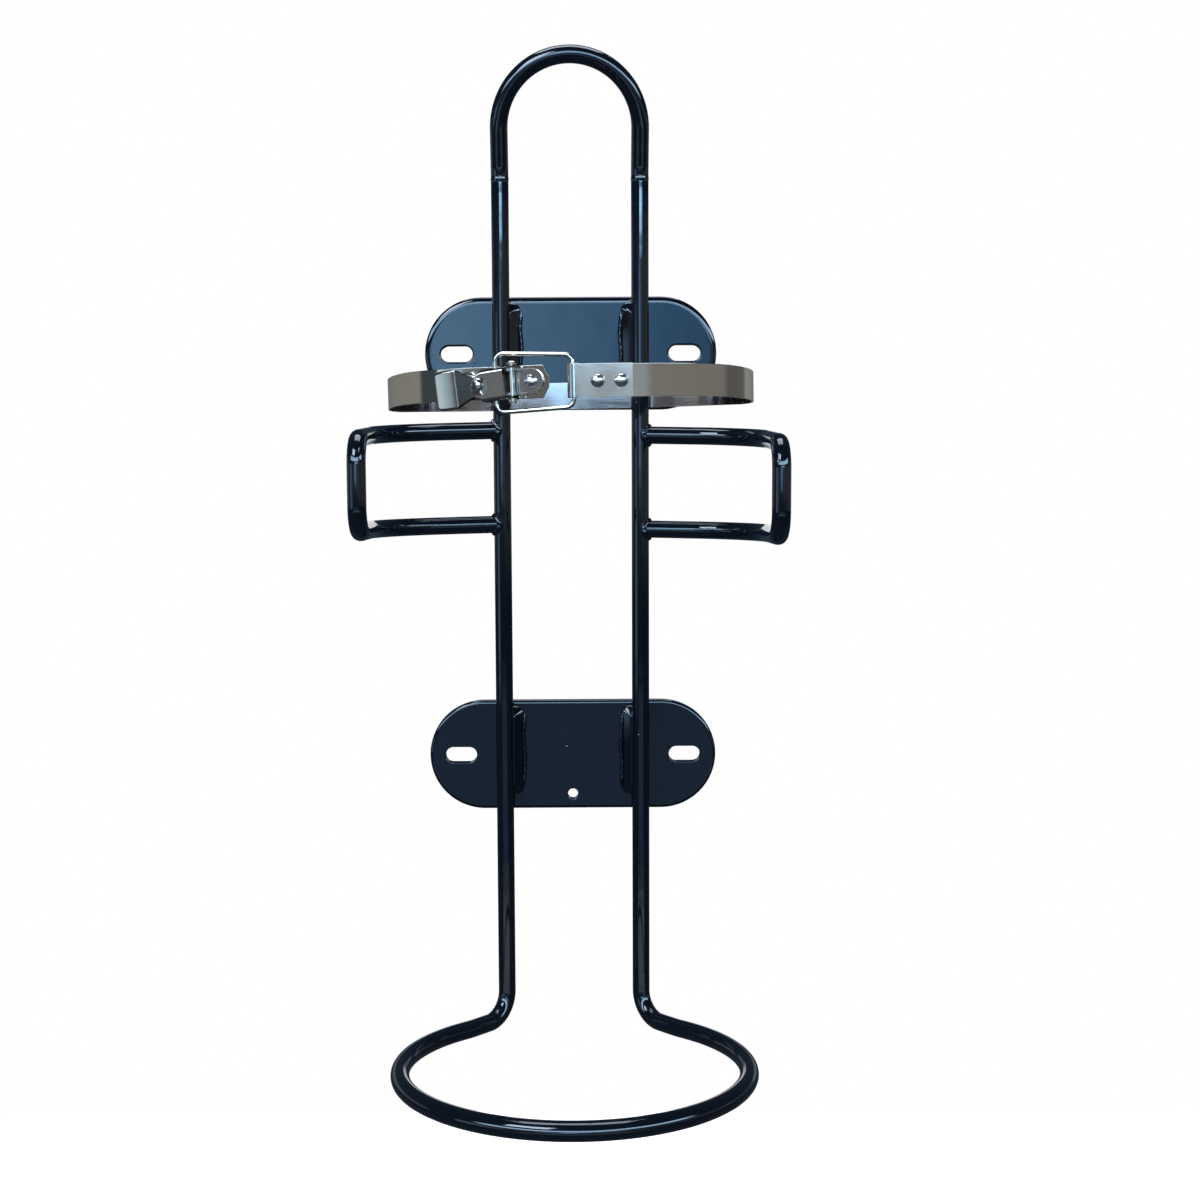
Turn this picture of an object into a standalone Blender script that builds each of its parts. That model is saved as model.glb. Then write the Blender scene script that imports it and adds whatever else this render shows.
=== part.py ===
"""Wall bracket for a large fire extinguisher.

A single bent rod makes the hairpin top, the two uprights and the ring foot. Two rod arms,
two slotted wall plates on stand-off pads, and a stainless strap with an over-centre latch
complete it. Metres, +Z up, the bracket's front towards -Y, the wall at Y = 0. The origin is
the middle of the upper wall plate's back face.
"""

import math

import bmesh
import bpy
from mathutils import Matrix, Vector
from mathutils.geometry import interpolate_bezier

# Gaps between pieces that touch or run in each other
SEAT_GAP = 0.0003
RUNNING_GAP = 0.0002

# Wall plates
PLATE_LENGTH = 0.169
PLATE_HEIGHT = 0.065
PLATE_THICKNESS = 0.005
PLATE_EDGE_RADIUS = 0.001
PLATE_SPACING = 0.235
SLOT_INSET = 0.0185
SLOT_LENGTH = 0.0184
SLOT_WIDTH = 0.009
TIE_HOLE_DIAMETER = 0.006
TIE_HOLE_EDGE_DISTANCE = 0.0088

# Stand-off pads
PAD_WIDTH = 0.0165
PAD_THICKNESS = 0.004
PAD_CORNER_RADIUS = 0.005
PAD_TOP_MARGIN = 0.0035
UPPER_PAD_HEIGHT = 0.0425
LOWER_PAD_HEIGHT = 0.0525
PAD_OUTER_OVERHANG = 0.0005
WELD_PITCH = 0.0042
WELD_SWELL = 0.25

# Frame rod
FRAME_HEIGHT = 0.5534
ROD_DIAMETER = 0.010
ROD_SPACING = 0.0795
HAIRPIN_BEND_HEIGHT = 0.1008
HAIRPIN_LENGTH = 0.0640
HAIRPIN_LEAN = math.radians(16.0)
HAIRPIN_BEND_RADIUS = 0.030
FOOT_BEND_RADIUS = 0.0155

# Ring foot
RING_RADIUS = 0.0930
RING_FORWARD = 0.0960
RING_TILT = math.radians(3.4)
RING_START_ANGLE = math.radians(40.66)
RING_LEAD_IN = 0.012
RING_LEAD_IN_RADIUS = 0.040

# Side arms
LEFT_ARM_REACH = 0.1112
RIGHT_ARM_REACH = 0.1088
ARM_FORWARD = 0.0960
ARM_ROOT_FORWARD = 0.001
ARM_SHOULDER_FORWARD = 0.006
ARM_SHOULDER_RADIUS = 0.042
ARM_END_RADIUS = 0.014
ARM_ROOT_SPREAD = 0.0540
ARM_END_SPREAD = 0.0480
ARM_DROOP = 0.0028
LEFT_ARM_DROP = 0.0712
RIGHT_ARM_DROP = 0.0744
ARM_WELD_SWELL = 0.42
ARM_WELD_LENGTH = 0.0045

# Strap
CYLINDER_RADIUS = 0.0930
STRAP_WIDTH = 0.0153
STRAP_THICKNESS = 0.0008
STRAP_DROP = 0.0246
STRAP_ROLL = math.radians(1.0)
STRAP_TIP_LENGTH = 0.003
STRAP_TIP_WIDTH = 0.0050
STRAP_CORNER_RADIUS = 0.0570
STRAP_SAG = 0.0016

# Latch base and its rivets
LATCH_ANGLE = math.radians(19.0)
LATCH_ROLL = math.radians(1.5)
LATCH_SHEET = 0.0010
BASE_WIDTH = 0.0118
BASE_LEFT = 0.0180
BASE_RIGHT = 0.0192
BASE_RIVET_SPACING = 0.0267
EAR_RADIUS = 0.0030
EAR_FOOT = 0.0044
EAR_HEEL = 0.0058
STRAP_END_OVERHANG = 0.0024

# Pivot pin and washers
PIN_DIAMETER = 0.0023
PIN_OFFSET = 0.0054
PIN_HEIGHT = 0.0044
PIN_HEAD_DIAMETER = 0.0042
PIN_HEAD_LENGTH = 0.0007
WASHER_DIAMETER = 0.0048
WASHER_THICKNESS = 0.0005

# Lever
LEVER_SHEET = 0.0009
LEVER_INNER_WIDTH = 0.0134
LEVER_BEND_RADIUS = 0.0020
LEVER_LIP_RADIUS = 0.0012
LEVER_FLANGE_LENGTH = 0.0142
LEVER_NECK_LENGTH = 0.0050
LEVER_NECK_WIDTH = 0.0114
LEVER_WINDOW_MARGIN = 0.0035
LEVER_RISE = 0.0050
LEVER_SLOPE = math.radians(43.0)
LEVER_CREST = 1.05
LEVER_TAB_LENGTH = 0.0115
LEVER_TAB_WIDTH = 0.0184
LEVER_HOLE_DIAMETER = 0.0084
LEVER_HOLE_OFFSET = 0.0157
LEVER_SKEW = math.radians(4.5)

# Bail
BAIL_WIRE = 0.0021
BAIL_CRANK = 0.0085
BAIL_SEAT_DROP = 0.0008
BAIL_LEFT_HEIGHT = 0.0293
BAIL_RIGHT_HEIGHT = 0.0259
BAIL_CORNER_RADIUS = 0.0040

# Catch plate
CATCH_ANGLE = math.radians(8.1)
CATCH_SHEET = 0.0010
CATCH_WIDTH = 0.0157
CATCH_LENGTH = 0.0309
CATCH_FOLD_GAP = 0.0043
CATCH_FLAP_LENGTH = 0.0056
CATCH_FLAP_CORNER = 0.0020
CATCH_RIVET_SPACING = 0.0110
CATCH_RIVET_MARGIN = 0.0055
STRAP_UNDER_CATCH = 0.0240

# Rivets
RIVET_SHANK_DIAMETER = 0.0030
RIVET_HEAD_DIAMETER = 0.0065
RIVET_HEAD_HEIGHT = 0.0019
RIVET_TAIL_DIAMETER = 0.0048
RIVET_TAIL_THICKNESS = 0.0006

# How finely round forms are cut
ROD_BEVEL_RESOLUTION = 5
ARM_BEVEL_RESOLUTION = 4
WIRE_BEVEL_RESOLUTION = 4
BEAD_BEVEL_RESOLUTION = 2
TURNED_STEPS = 16
CUTTER_STEPS = 32

# Places worked out from the sizes above
ROD_RADIUS = ROD_DIAMETER / 2
HALF_SPACING = ROD_SPACING / 2
FOOT_DROP = FRAME_HEIGHT - HAIRPIN_BEND_HEIGHT - HAIRPIN_LENGTH * math.cos(HAIRPIN_LEAN)
SLOT_SPACING = PLATE_LENGTH - 2 * SLOT_INSET
PAD_BACK = -PLATE_THICKNESS - SEAT_GAP
PAD_FRONT = PAD_BACK - PAD_THICKNESS
ROD_Y = PAD_FRONT - SEAT_GAP - ROD_RADIUS
STRAP_OUTER = CYLINDER_RADIUS + 0.0002 + STRAP_THICKNESS
STRAP_MIDDLE = STRAP_OUTER - STRAP_THICKNESS / 2
STRAP_FORWARD = math.sqrt((CYLINDER_RADIUS + ROD_RADIUS + SEAT_GAP) ** 2 - HALF_SPACING**2)
LEVER_HALF = LEVER_INNER_WIDTH / 2 + LEVER_SHEET
LEVER_EAR = PIN_HEIGHT - 0.0018
LEVER_TOP = PIN_HEIGHT + LEVER_EAR


def clear_scene():
    for old in list(bpy.data.objects):
        bpy.data.objects.remove(old, do_unlink=True)


def make_material(name, colour, metallic, roughness):
    material = bpy.data.materials.new(name)
    material.use_nodes = True
    shader = material.node_tree.nodes["Principled BSDF"]
    shader.inputs["Base Color"].default_value = (*colour, 1.0)
    shader.inputs["Metallic"].default_value = metallic
    shader.inputs["Roughness"].default_value = roughness
    return material


def link(obj, parent=None, material=None):
    bpy.context.scene.collection.objects.link(obj)
    obj.parent = parent
    if material:
        obj.data.materials.append(material)
    return obj


def finish_mesh(name, bm, parent=None, material=None, sharp=30.0):
    """One closed mesh, faces outward, round parts shaded smooth."""
    bmesh.ops.remove_doubles(bm, verts=bm.verts, dist=1e-7)
    bmesh.ops.recalc_face_normals(bm, faces=bm.faces)
    mesh = bpy.data.meshes.new(name)
    bm.to_mesh(mesh)
    bm.free()
    mesh.shade_smooth()
    mesh.set_sharp_from_angle(angle=math.radians(sharp))
    return link(bpy.data.objects.new(name, mesh), parent, material)


def make_empty(name, parent=None, location=(0, 0, 0), rotation=(0, 0, 0)):
    empty = bpy.data.objects.new(name, None)
    empty.location = location
    empty.rotation_euler = rotation
    return link(empty, parent)


def boolean(obj, other, operation="DIFFERENCE"):
    """Joins or cuts with a helper that is itself left out of the part."""
    other.hide_render = True
    other.display_type = "WIRE"
    modifier = obj.modifiers.new(operation.title(), "BOOLEAN")
    modifier.operation = operation
    modifier.solver = "EXACT"
    modifier.object = other


def arc(centre, radius, start, end, steps):
    """Points of a plane arc, both ends included; angles from the first axis."""
    points = []
    for i in range(steps + 1):
        angle = start + (end - start) * i / steps
        points.append(Vector((centre[0] + radius * math.cos(angle), centre[1] + radius * math.sin(angle))))
    return points


def fillet(before, corner, after, radius, steps):
    """The arc that rounds one corner of a path in space."""
    into = (corner - before).normalized()
    out = (after - corner).normalized()
    turn = into.angle(out)
    reach = radius * math.tan(turn / 2)
    start = corner - into * reach
    inward = (out - into * out.dot(into)).normalized()
    centre = start + inward * radius
    points = []
    for i in range(steps + 1):
        angle = turn * i / steps
        points.append(centre - inward * radius * math.cos(angle) + into * radius * math.sin(angle))
    return points


def filleted(corners, radii, steps):
    """A path through the corners, each inner one rounded by its own radius."""
    points = [corners[0]]
    for i, (radius, count) in enumerate(zip(radii, steps)):
        points += fillet(corners[i], corners[i + 1], corners[i + 2], radius, count)
    points.append(corners[-1])
    return points


def swept_rod(name, points, diameter, resolution, cyclic=False, swell=None):
    """The mesh of a round rod along a path. swell gives the rod's local thickness as a factor."""
    curve = bpy.data.curves.new(name + "_path", "CURVE")
    curve.dimensions = "3D"
    curve.bevel_depth = diameter / 2
    curve.bevel_resolution = resolution
    curve.use_fill_caps = not cyclic
    spline = curve.splines.new("POLY")
    spline.points.add(len(points) - 1)
    for i, point in enumerate(points):
        spline.points[i].co = (*point, 1.0)
        spline.points[i].radius = swell[i] if swell else 1.0
    spline.use_cyclic_u = cyclic
    guide = bpy.data.objects.new(name + "_path", curve)
    bpy.context.scene.collection.objects.link(guide)
    graph = bpy.context.evaluated_depsgraph_get()
    mesh = bpy.data.meshes.new_from_object(guide.evaluated_get(graph))
    bpy.data.objects.remove(guide, do_unlink=True)
    bm = bmesh.new()
    bm.from_mesh(mesh)
    bpy.data.meshes.remove(mesh)
    return bm


def prism(outline, low, high, axis="Z"):
    """A flat outline in the plane across the axis, extruded from low to high along it."""
    bm = bmesh.new()
    if axis == "Z":
        ring = [bm.verts.new((x, y, low)) for x, y in outline]
        shift = (0, 0, high - low)
    else:
        ring = [bm.verts.new((x, low, y)) for x, y in outline]
        shift = (0, high - low, 0)
    face = bm.faces.new(ring)
    made = bmesh.ops.extrude_face_region(bm, geom=[face])
    moved = [item for item in made["geom"] if isinstance(item, bmesh.types.BMVert)]
    bmesh.ops.translate(bm, verts=moved, vec=shift)
    return bm


def stadium(length, width, steps, centre=(0.0, 0.0)):
    """A slot outline: two half circles joined by straight sides."""
    radius = width / 2
    half = length / 2 - radius
    right = arc((centre[0] + half, centre[1]), radius, -math.pi / 2, math.pi / 2, steps)
    left = arc((centre[0] - half, centre[1]), radius, math.pi / 2, 3 * math.pi / 2, steps)
    return right + left


def rounded_rectangle(low, high, radius, steps):
    """A rectangle from low to high with four round corners."""
    corners = (
        (high[0] - radius, high[1] - radius, 0.0),
        (low[0] + radius, high[1] - radius, math.pi / 2),
        (low[0] + radius, low[1] + radius, math.pi),
        (high[0] - radius, low[1] + radius, 1.5 * math.pi),
    )
    points = []
    for x, y, start in corners:
        points += arc((x, y), radius, start, start + math.pi / 2, steps)
    return points


def circle(radius, steps, centre=(0.0, 0.0)):
    return arc(centre, radius, 0.0, 2 * math.pi * (steps - 1) / steps, steps - 1)


def round_edges(bm, radius, segments):
    """Rounds every edge between a flat face and the rim of a plate."""
    rims = []
    for edge in bm.edges:
        faces = edge.link_faces
        if len(faces) == 2 and faces[0].normal.angle(faces[1].normal) > math.radians(60):
            rims.append(edge)
    bmesh.ops.bevel(bm, geom=rims, offset=radius, segments=segments, profile=0.5, affect="EDGES")


def turned(name, profile, parent, material, turn=None):
    """A turned piece: the profile of (radius, height) points spun round its own axis."""
    bm = bmesh.new()
    verts = [bm.verts.new((radius, 0, height)) for radius, height in profile]
    edges = [bm.edges.new((a, b)) for a, b in zip(verts, verts[1:])]
    bmesh.ops.spin(
        bm,
        geom=verts + edges,
        cent=(0, 0, 0),
        axis=(0, 0, 1),
        angle=2 * math.pi,
        steps=TURNED_STEPS,
        use_merge=True,
    )
    if turn:
        bm.transform(turn)
    return finish_mesh(name, bm, parent, material)


def strip(name, stations, thickness, parent, material):
    """A sheet strip on edge. Each station is a point on its middle line, half its height and its sag."""
    bm = bmesh.new()
    rings = []
    for i, (point, half, sag) in enumerate(stations):
        before = stations[max(i - 1, 0)][0]
        after = stations[min(i + 1, len(stations) - 1)][0]
        along = (after - before).normalized()
        side = Vector((-along.y, along.x)) * thickness / 2
        ring = []
        for offset, height in ((side, -half), (side, half), (-side, half), (-side, -half)):
            ring.append(bm.verts.new((point.x + offset.x, point.y + offset.y, height - sag)))
        rings.append(ring)
    for a, b in zip(rings, rings[1:]):
        for k in range(4):
            bm.faces.new((a[k], a[(k + 1) % 4], b[(k + 1) % 4], b[k]))
    bm.faces.new(rings[0])
    bm.faces.new(rings[-1])
    return finish_mesh(name, bm, parent, material)


def frame_path():
    """The frame rod's middle line, a closed loop, from the hairpin's crown down the right side."""
    lean = Vector((0, -math.sin(HAIRPIN_LEAN), math.cos(HAIRPIN_LEAN)))
    knee = Vector((0, ROD_Y, HAIRPIN_BEND_HEIGHT))
    straight = HAIRPIN_LENGTH - HALF_SPACING
    crown = []
    for point in arc((0, 0), HALF_SPACING, math.pi / 2, 0, 12):
        crown.append(knee + lean * (straight + point.y) + Vector((point.x, 0, 0)))
    side = Vector((HALF_SPACING, 0, 0))
    foot = Vector((HALF_SPACING, ROD_Y, -FOOT_DROP))
    tilt = Matrix.Rotation(-RING_TILT, 3, "X")
    heart = Vector((0, -RING_FORWARD, 0))

    def on_ring(angle):
        plan = heart + Vector((RING_RADIUS * math.sin(angle), RING_RADIUS * math.cos(angle), 0))
        return Vector((0, ROD_Y, -FOOT_DROP)) + tilt @ plan

    start = on_ring(RING_START_ANGLE)
    tangent = tilt @ Vector((math.cos(RING_START_ANGLE), -math.sin(RING_START_ANGLE), 0))
    turn = (start - foot).angle(tangent)
    bends = filleted(
        [crown[-1], knee + side, foot, start, start + tangent * RING_LEAD_IN],
        [HAIRPIN_BEND_RADIUS, FOOT_BEND_RADIUS, RING_LEAD_IN_RADIUS],
        [4, 7, 2],
    )
    resume = RING_START_ANGLE + 1.6 * RING_LEAD_IN_RADIUS * math.tan(turn / 2) / RING_RADIUS
    ring = []
    for i in range(30):
        ring.append(on_ring(resume + (math.pi - resume) * i / 29))
    right = crown + bends[1:-1] + ring
    left = [Vector((-p.x, p.y, p.z)) for p in reversed(right[1:-1])]
    return right + left


def build_frame_rod(paint):
    bm = swept_rod("frame_rod", frame_path(), ROD_DIAMETER, ROD_BEVEL_RESOLUTION, cyclic=True)
    return finish_mesh("frame_rod", bm, material=paint)


def arm_path(side, drop, reach):
    """An arm's middle line from the upper weld round the end bar to the lower weld."""
    upper, lower = [], []
    for path, sign in ((upper, 1), (lower, -1)):
        root = sign * ARM_ROOT_SPREAD / 2 - drop
        shoulder = root - ARM_DROOP / 2
        end = sign * ARM_END_SPREAD / 2 - drop - ARM_DROOP
        path.append(Vector((side * (HALF_SPACING + 0.5 * ROD_RADIUS), ROD_Y - ARM_ROOT_FORWARD, root)))
        path.append(Vector((side * reach, ROD_Y - ARM_SHOULDER_FORWARD, shoulder)))
        path.append(Vector((side * reach, ROD_Y - ARM_FORWARD, end)))
    corners = upper + list(reversed(lower))
    weld_end = HALF_SPACING + ROD_RADIUS + ARM_WELD_LENGTH
    points = filleted(
        corners,
        [ARM_SHOULDER_RADIUS, ARM_END_RADIUS, ARM_END_RADIUS, ARM_SHOULDER_RADIUS],
        [10, 8, 8, 10],
    )
    head = weld_points(points[0], points[1], side, weld_end)
    tail = weld_points(points[-1], points[-2], side, weld_end)
    return head + points[1:-1] + list(reversed(tail))


def weld_points(start, after, side, weld_end):
    """Extra points along a leg's root, for the fillet of weld that runs onto the upright."""
    surface = HALF_SPACING + ROD_RADIUS
    points = [start]
    for share in (0.0, 0.25, 0.55, 1.0):
        x = side * (surface + (weld_end - surface) * share)
        points.append(start.lerp(after, (x - start.x) / (after.x - start.x)))
    return points


def weld_swell(points, side):
    """How much thicker the arm is at each point: a weld fillet that fades out along the leg."""
    surface = HALF_SPACING + ROD_RADIUS
    factors = []
    for point in points:
        away = (abs(point.x) - surface) / ARM_WELD_LENGTH
        fade = min(max(away, 0.0), 1.0)
        factors.append(1.0 + ARM_WELD_SWELL * (1.0 - fade) ** 2)
    return factors


def build_arm(name, side, drop, reach, paint):
    points = arm_path(side, drop, reach)
    bm = swept_rod(name, points, ROD_DIAMETER, ARM_BEVEL_RESOLUTION, swell=weld_swell(points, side))
    arm = finish_mesh(name, bm, material=paint)
    cope = prism(
        circle(ROD_RADIUS + SEAT_GAP, CUTTER_STEPS, (side * HALF_SPACING, ROD_Y)),
        -drop - ARM_ROOT_SPREAD,
        -drop + ARM_ROOT_SPREAD,
    )
    boolean(arm, finish_mesh(name + "_cope", cope))
    return arm


def build_plate(name, height, paint):
    """A wall plate with round ends, rounded edges and a slot at each end."""
    outline = [(p.x, p.y + height) for p in stadium(PLATE_LENGTH, PLATE_HEIGHT, 20)]
    bm = prism(outline, -PLATE_THICKNESS, 0.0, axis="Y")
    bm.normal_update()
    round_edges(bm, PLATE_EDGE_RADIUS, 2)
    plate = finish_mesh(name, bm, material=paint, sharp=50.0)
    for side, place in ((-1, "left"), (1, "right")):
        centre = (side * SLOT_SPACING / 2, height)
        slot = prism(stadium(SLOT_LENGTH, SLOT_WIDTH, 8, centre), -2 * PLATE_THICKNESS, PLATE_THICKNESS, "Y")
        boolean(plate, finish_mesh(f"{name}_{place}_slot", slot))
    return plate


def drill_tie_hole(plate, height):
    low = height - PLATE_HEIGHT / 2 + TIE_HOLE_EDGE_DISTANCE
    outline = circle(TIE_HOLE_DIAMETER / 2, 20, (0.0, low))
    bm = prism(outline, -2 * PLATE_THICKNESS, PLATE_THICKNESS, "Y")
    boolean(plate, finish_mesh("tie_hole", bm))


def build_pad(name, side, plate_height, pad_height, paint):
    """A stand-off pad behind an upright, with the weld bead that runs down its inner edge."""
    top = plate_height + PLATE_HEIGHT / 2 - PAD_TOP_MARGIN
    outer = HALF_SPACING + ROD_RADIUS + PAD_OUTER_OVERHANG
    inner = outer - PAD_WIDTH
    low, high = sorted((side * inner, side * outer))
    outline = rounded_rectangle((low, top - pad_height), (high, top), PAD_CORNER_RADIUS, 4)
    pad = finish_mesh(name, prism(outline, PAD_FRONT, PAD_BACK, "Y"), material=paint)
    beads = round((pad_height - 2 * PAD_CORNER_RADIUS) / WELD_PITCH)
    points, factors = [], []
    for i in range(2 * beads + 1):
        height = top - PAD_CORNER_RADIUS - (pad_height - 2 * PAD_CORNER_RADIUS) * i / (2 * beads)
        points.append(Vector((side * inner, (PAD_FRONT + PAD_BACK) / 2, height)))
        factors.append(1.0 if i % 2 else 1.0 - WELD_SWELL)
    bead = swept_rod(name + "_bead", points, 0.96 * PAD_THICKNESS, BEAD_BEVEL_RESOLUTION, swell=factors)
    boolean(pad, finish_mesh(name + "_bead", bead), "UNION")
    return pad


def tangent_frame(angle, side):
    """Where a latch piece sits on the strap's outer face, and the strap's direction there."""
    point = Vector((side * math.sin(angle), -math.cos(angle)))
    along = Vector((math.cos(angle), side * math.sin(angle)))
    return point, along


def strap_side(end, heading, side):
    """The strap from a flat end at the front, round one side, to the middle of its back."""
    flank = Vector((side * STRAP_MIDDLE, 0.0))
    chord = (flank - end).length
    turn = heading.angle(Vector((0.0, 1.0)))
    handle = chord * (4 / 3) * math.tan(turn / 4) / (2 * math.sin(turn / 2))
    first = Vector((*(end + heading * handle), 0.0))
    second = Vector((flank.x, -handle, 0.0))
    bend = interpolate_bezier(Vector((*end, 0.0)), first, second, Vector((*flank, 0.0)), 15)
    points = [Vector((p.x, p.y)) for p in bend]
    back = STRAP_FORWARD + ROD_RADIUS + SEAT_GAP + STRAP_THICKNESS / 2
    corner = (STRAP_MIDDLE - STRAP_CORNER_RADIUS, back - STRAP_CORNER_RADIUS)
    points.append(Vector((flank.x, corner[1] / 2)))
    for point in arc(corner, STRAP_CORNER_RADIUS, 0.0, math.pi / 2, 12):
        points.append(Vector((side * point.x, point.y)))
    return points


def strap_sag(point):
    """How far the free flank of the strap hangs below its ends and its back."""
    reach = 0.8 if point.y < 0 else 1.0
    share = min(max(1.0 - abs(point.y) / (reach * STRAP_MIDDLE), 0.0), 1.0)
    return STRAP_SAG * share * share * (3 - 2 * share)


def build_strap(parent, steel):
    """One band: pointed tip under the latch, round the left side, behind the uprights, back to the catch."""
    half = STRAP_WIDTH / 2
    out, along = tangent_frame(LATCH_ANGLE, -1)
    middle = out * STRAP_MIDDLE
    tip = BASE_RIGHT + STRAP_END_OVERHANG
    stations = [
        (middle + along * tip, STRAP_TIP_WIDTH / 2, 0.0),
        (middle + along * (tip - 0.5 * STRAP_TIP_LENGTH), (half + STRAP_TIP_WIDTH / 2) / 2, 0.0),
        (middle + along * (tip - STRAP_TIP_LENGTH), half, 0.0),
    ]
    left_end = middle - along * (BASE_LEFT + 0.002)
    left = strap_side(left_end, -along, -1)
    out, along = tangent_frame(CATCH_ANGLE, 1)
    middle = out * STRAP_MIDDLE
    right_end = middle + along * (CATCH_LENGTH / 2 + 0.001)
    right = strap_side(right_end, along, 1)
    stations += [(point, half, strap_sag(point)) for point in left + list(reversed(right))]
    stations.append((middle + along * (CATCH_LENGTH / 2 - STRAP_UNDER_CATCH), half, 0.0))
    return strip("strap", stations, STRAP_THICKNESS, parent, steel)


def rivet_profile(stack):
    """A domed rivet, outside to inside along -Z: head at height 0 upward, shank through the stack."""
    head = RIVET_HEAD_DIAMETER / 2
    shank = RIVET_SHANK_DIAMETER / 2
    tail = RIVET_TAIL_DIAMETER / 2
    dome = (head**2 + RIVET_HEAD_HEIGHT**2) / (2 * RIVET_HEAD_HEIGHT)
    span = math.asin(head / dome)
    profile = []
    for i in range(6):
        angle = span * i / 5
        profile.append((dome * math.sin(angle), RIVET_HEAD_HEIGHT - dome * (1 - math.cos(angle))))
    profile += [(shank, 0.0), (shank, -stack), (tail, -stack), (tail * 0.9, -stack - RIVET_TAIL_THICKNESS)]
    profile.append((0.0, -stack - RIVET_TAIL_THICKNESS))
    return profile


def build_rivet(name, parent, along, sheet, steel, pieces):
    """A rivet through a latch piece and the strap, and its holes in both."""
    stack = sheet + STRAP_THICKNESS + 3 * SEAT_GAP
    outward = Matrix.Rotation(math.pi / 2, 4, "X")
    seat = Matrix.Translation((along, -(sheet + 2 * SEAT_GAP), 0.0))
    rivet = turned(name, rivet_profile(stack), parent, steel, seat @ outward)
    hole = prism(
        circle(RIVET_SHANK_DIAMETER / 2 + RUNNING_GAP, 20, (along, 0.0)),
        -5 * sheet,
        3 * sheet,
        "Y",
    )
    cutter = finish_mesh(name + "_hole", hole, parent)
    for piece in pieces:
        boolean(piece, cutter)
    return rivet


def build_base(parent, steel):
    """The latch base: a floor with one round end, and two ears for the pivot pin."""
    half = BASE_WIDTH / 2
    floor_low = SEAT_GAP
    floor_high = SEAT_GAP + LATCH_SHEET
    end = arc((BASE_RIGHT - half, 0.0), half, -math.pi / 2, math.pi / 2, 12)
    corner = 0.002
    start = arc((-BASE_LEFT + corner, half - corner), corner, math.pi / 2, math.pi, 3)
    start += arc((-BASE_LEFT + corner, -half + corner), corner, math.pi, 1.5 * math.pi, 3)
    base = finish_mesh("latch_base", prism(end + start, -floor_high, -floor_low, "Y"), parent, steel)
    for side, place in ((1, "upper"), (-1, "lower")):
        top = arc((PIN_OFFSET, PIN_HEIGHT), EAR_RADIUS, 0.0, math.pi, 10)
        foot = floor_low + 0.3 * LATCH_SHEET
        outline = [Vector((PIN_OFFSET + EAR_HEEL, foot))] + top + [Vector((PIN_OFFSET - EAR_FOOT, foot))]
        low, high = sorted((side * (half + 0.0001), side * (half + 0.0001 - LATCH_SHEET)))
        bm = prism([(p.x, -p.y) for p in outline], low, high)
        boolean(base, finish_mesh(f"{place}_ear", bm, parent), "UNION")
    bore = prism(
        circle(PIN_DIAMETER / 2 + RUNNING_GAP, 20, (PIN_OFFSET, -PIN_HEIGHT)),
        -BASE_WIDTH,
        BASE_WIDTH,
    )
    boolean(base, finish_mesh("ear_bores", bore, parent))
    return base


def build_pin(parent, steel):
    """The pivot pin with its two heads, and the washer under each head."""
    shank = PIN_DIAMETER / 2
    head = PIN_HEAD_DIAMETER / 2
    skew_room = LEVER_EAR * math.sin(LEVER_SKEW)
    washer_low = LEVER_HALF + skew_room + SEAT_GAP
    washer_high = washer_low + WASHER_THICKNESS
    head_low = washer_high + SEAT_GAP
    head_high = head_low + PIN_HEAD_LENGTH
    profile = [(0.0, -head_high), (0.8 * head, -head_high), (head, -head_low), (shank, -head_low)]
    profile += [(shank, head_low), (head, head_low), (0.8 * head, head_high), (0.0, head_high)]
    turned("pivot_pin", profile, parent, steel)
    bore = shank + RUNNING_GAP
    rim = WASHER_DIAMETER / 2
    for side, place in ((1, "upper"), (-1, "lower")):
        low, high = sorted((side * washer_low, side * washer_high))
        ring = [(bore, low), (rim, low), (rim, high), (bore, high), (bore, low)]
        turned(f"{place}_washer", ring, parent, steel)


def lever_section(half, depth, outer):
    """The lever's channel section as (height, inward) points, the web at inward 0."""
    inner = outer - LEVER_SHEET
    edge = half - outer
    points = [(half, depth)]
    points += [(edge + outer * math.cos(a), outer - outer * math.sin(a)) for a in (0.0, 0.52, 1.05, math.pi / 2)]
    points += [(-edge - outer * math.cos(a), outer - outer * math.sin(a)) for a in (math.pi / 2, 1.05, 0.52, 0.0)]
    points += [(-half, depth), (-half + LEVER_SHEET, depth)]
    points += [(-edge - inner * math.cos(a), outer - inner * math.sin(a)) for a in (0.0, 0.52, 1.05, math.pi / 2)]
    points += [(edge + inner * math.cos(a), outer - inner * math.sin(a)) for a in (math.pi / 2, 1.05, 0.52, 0.0)]
    points.append((half - LEVER_SHEET, depth))
    return points


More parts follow.
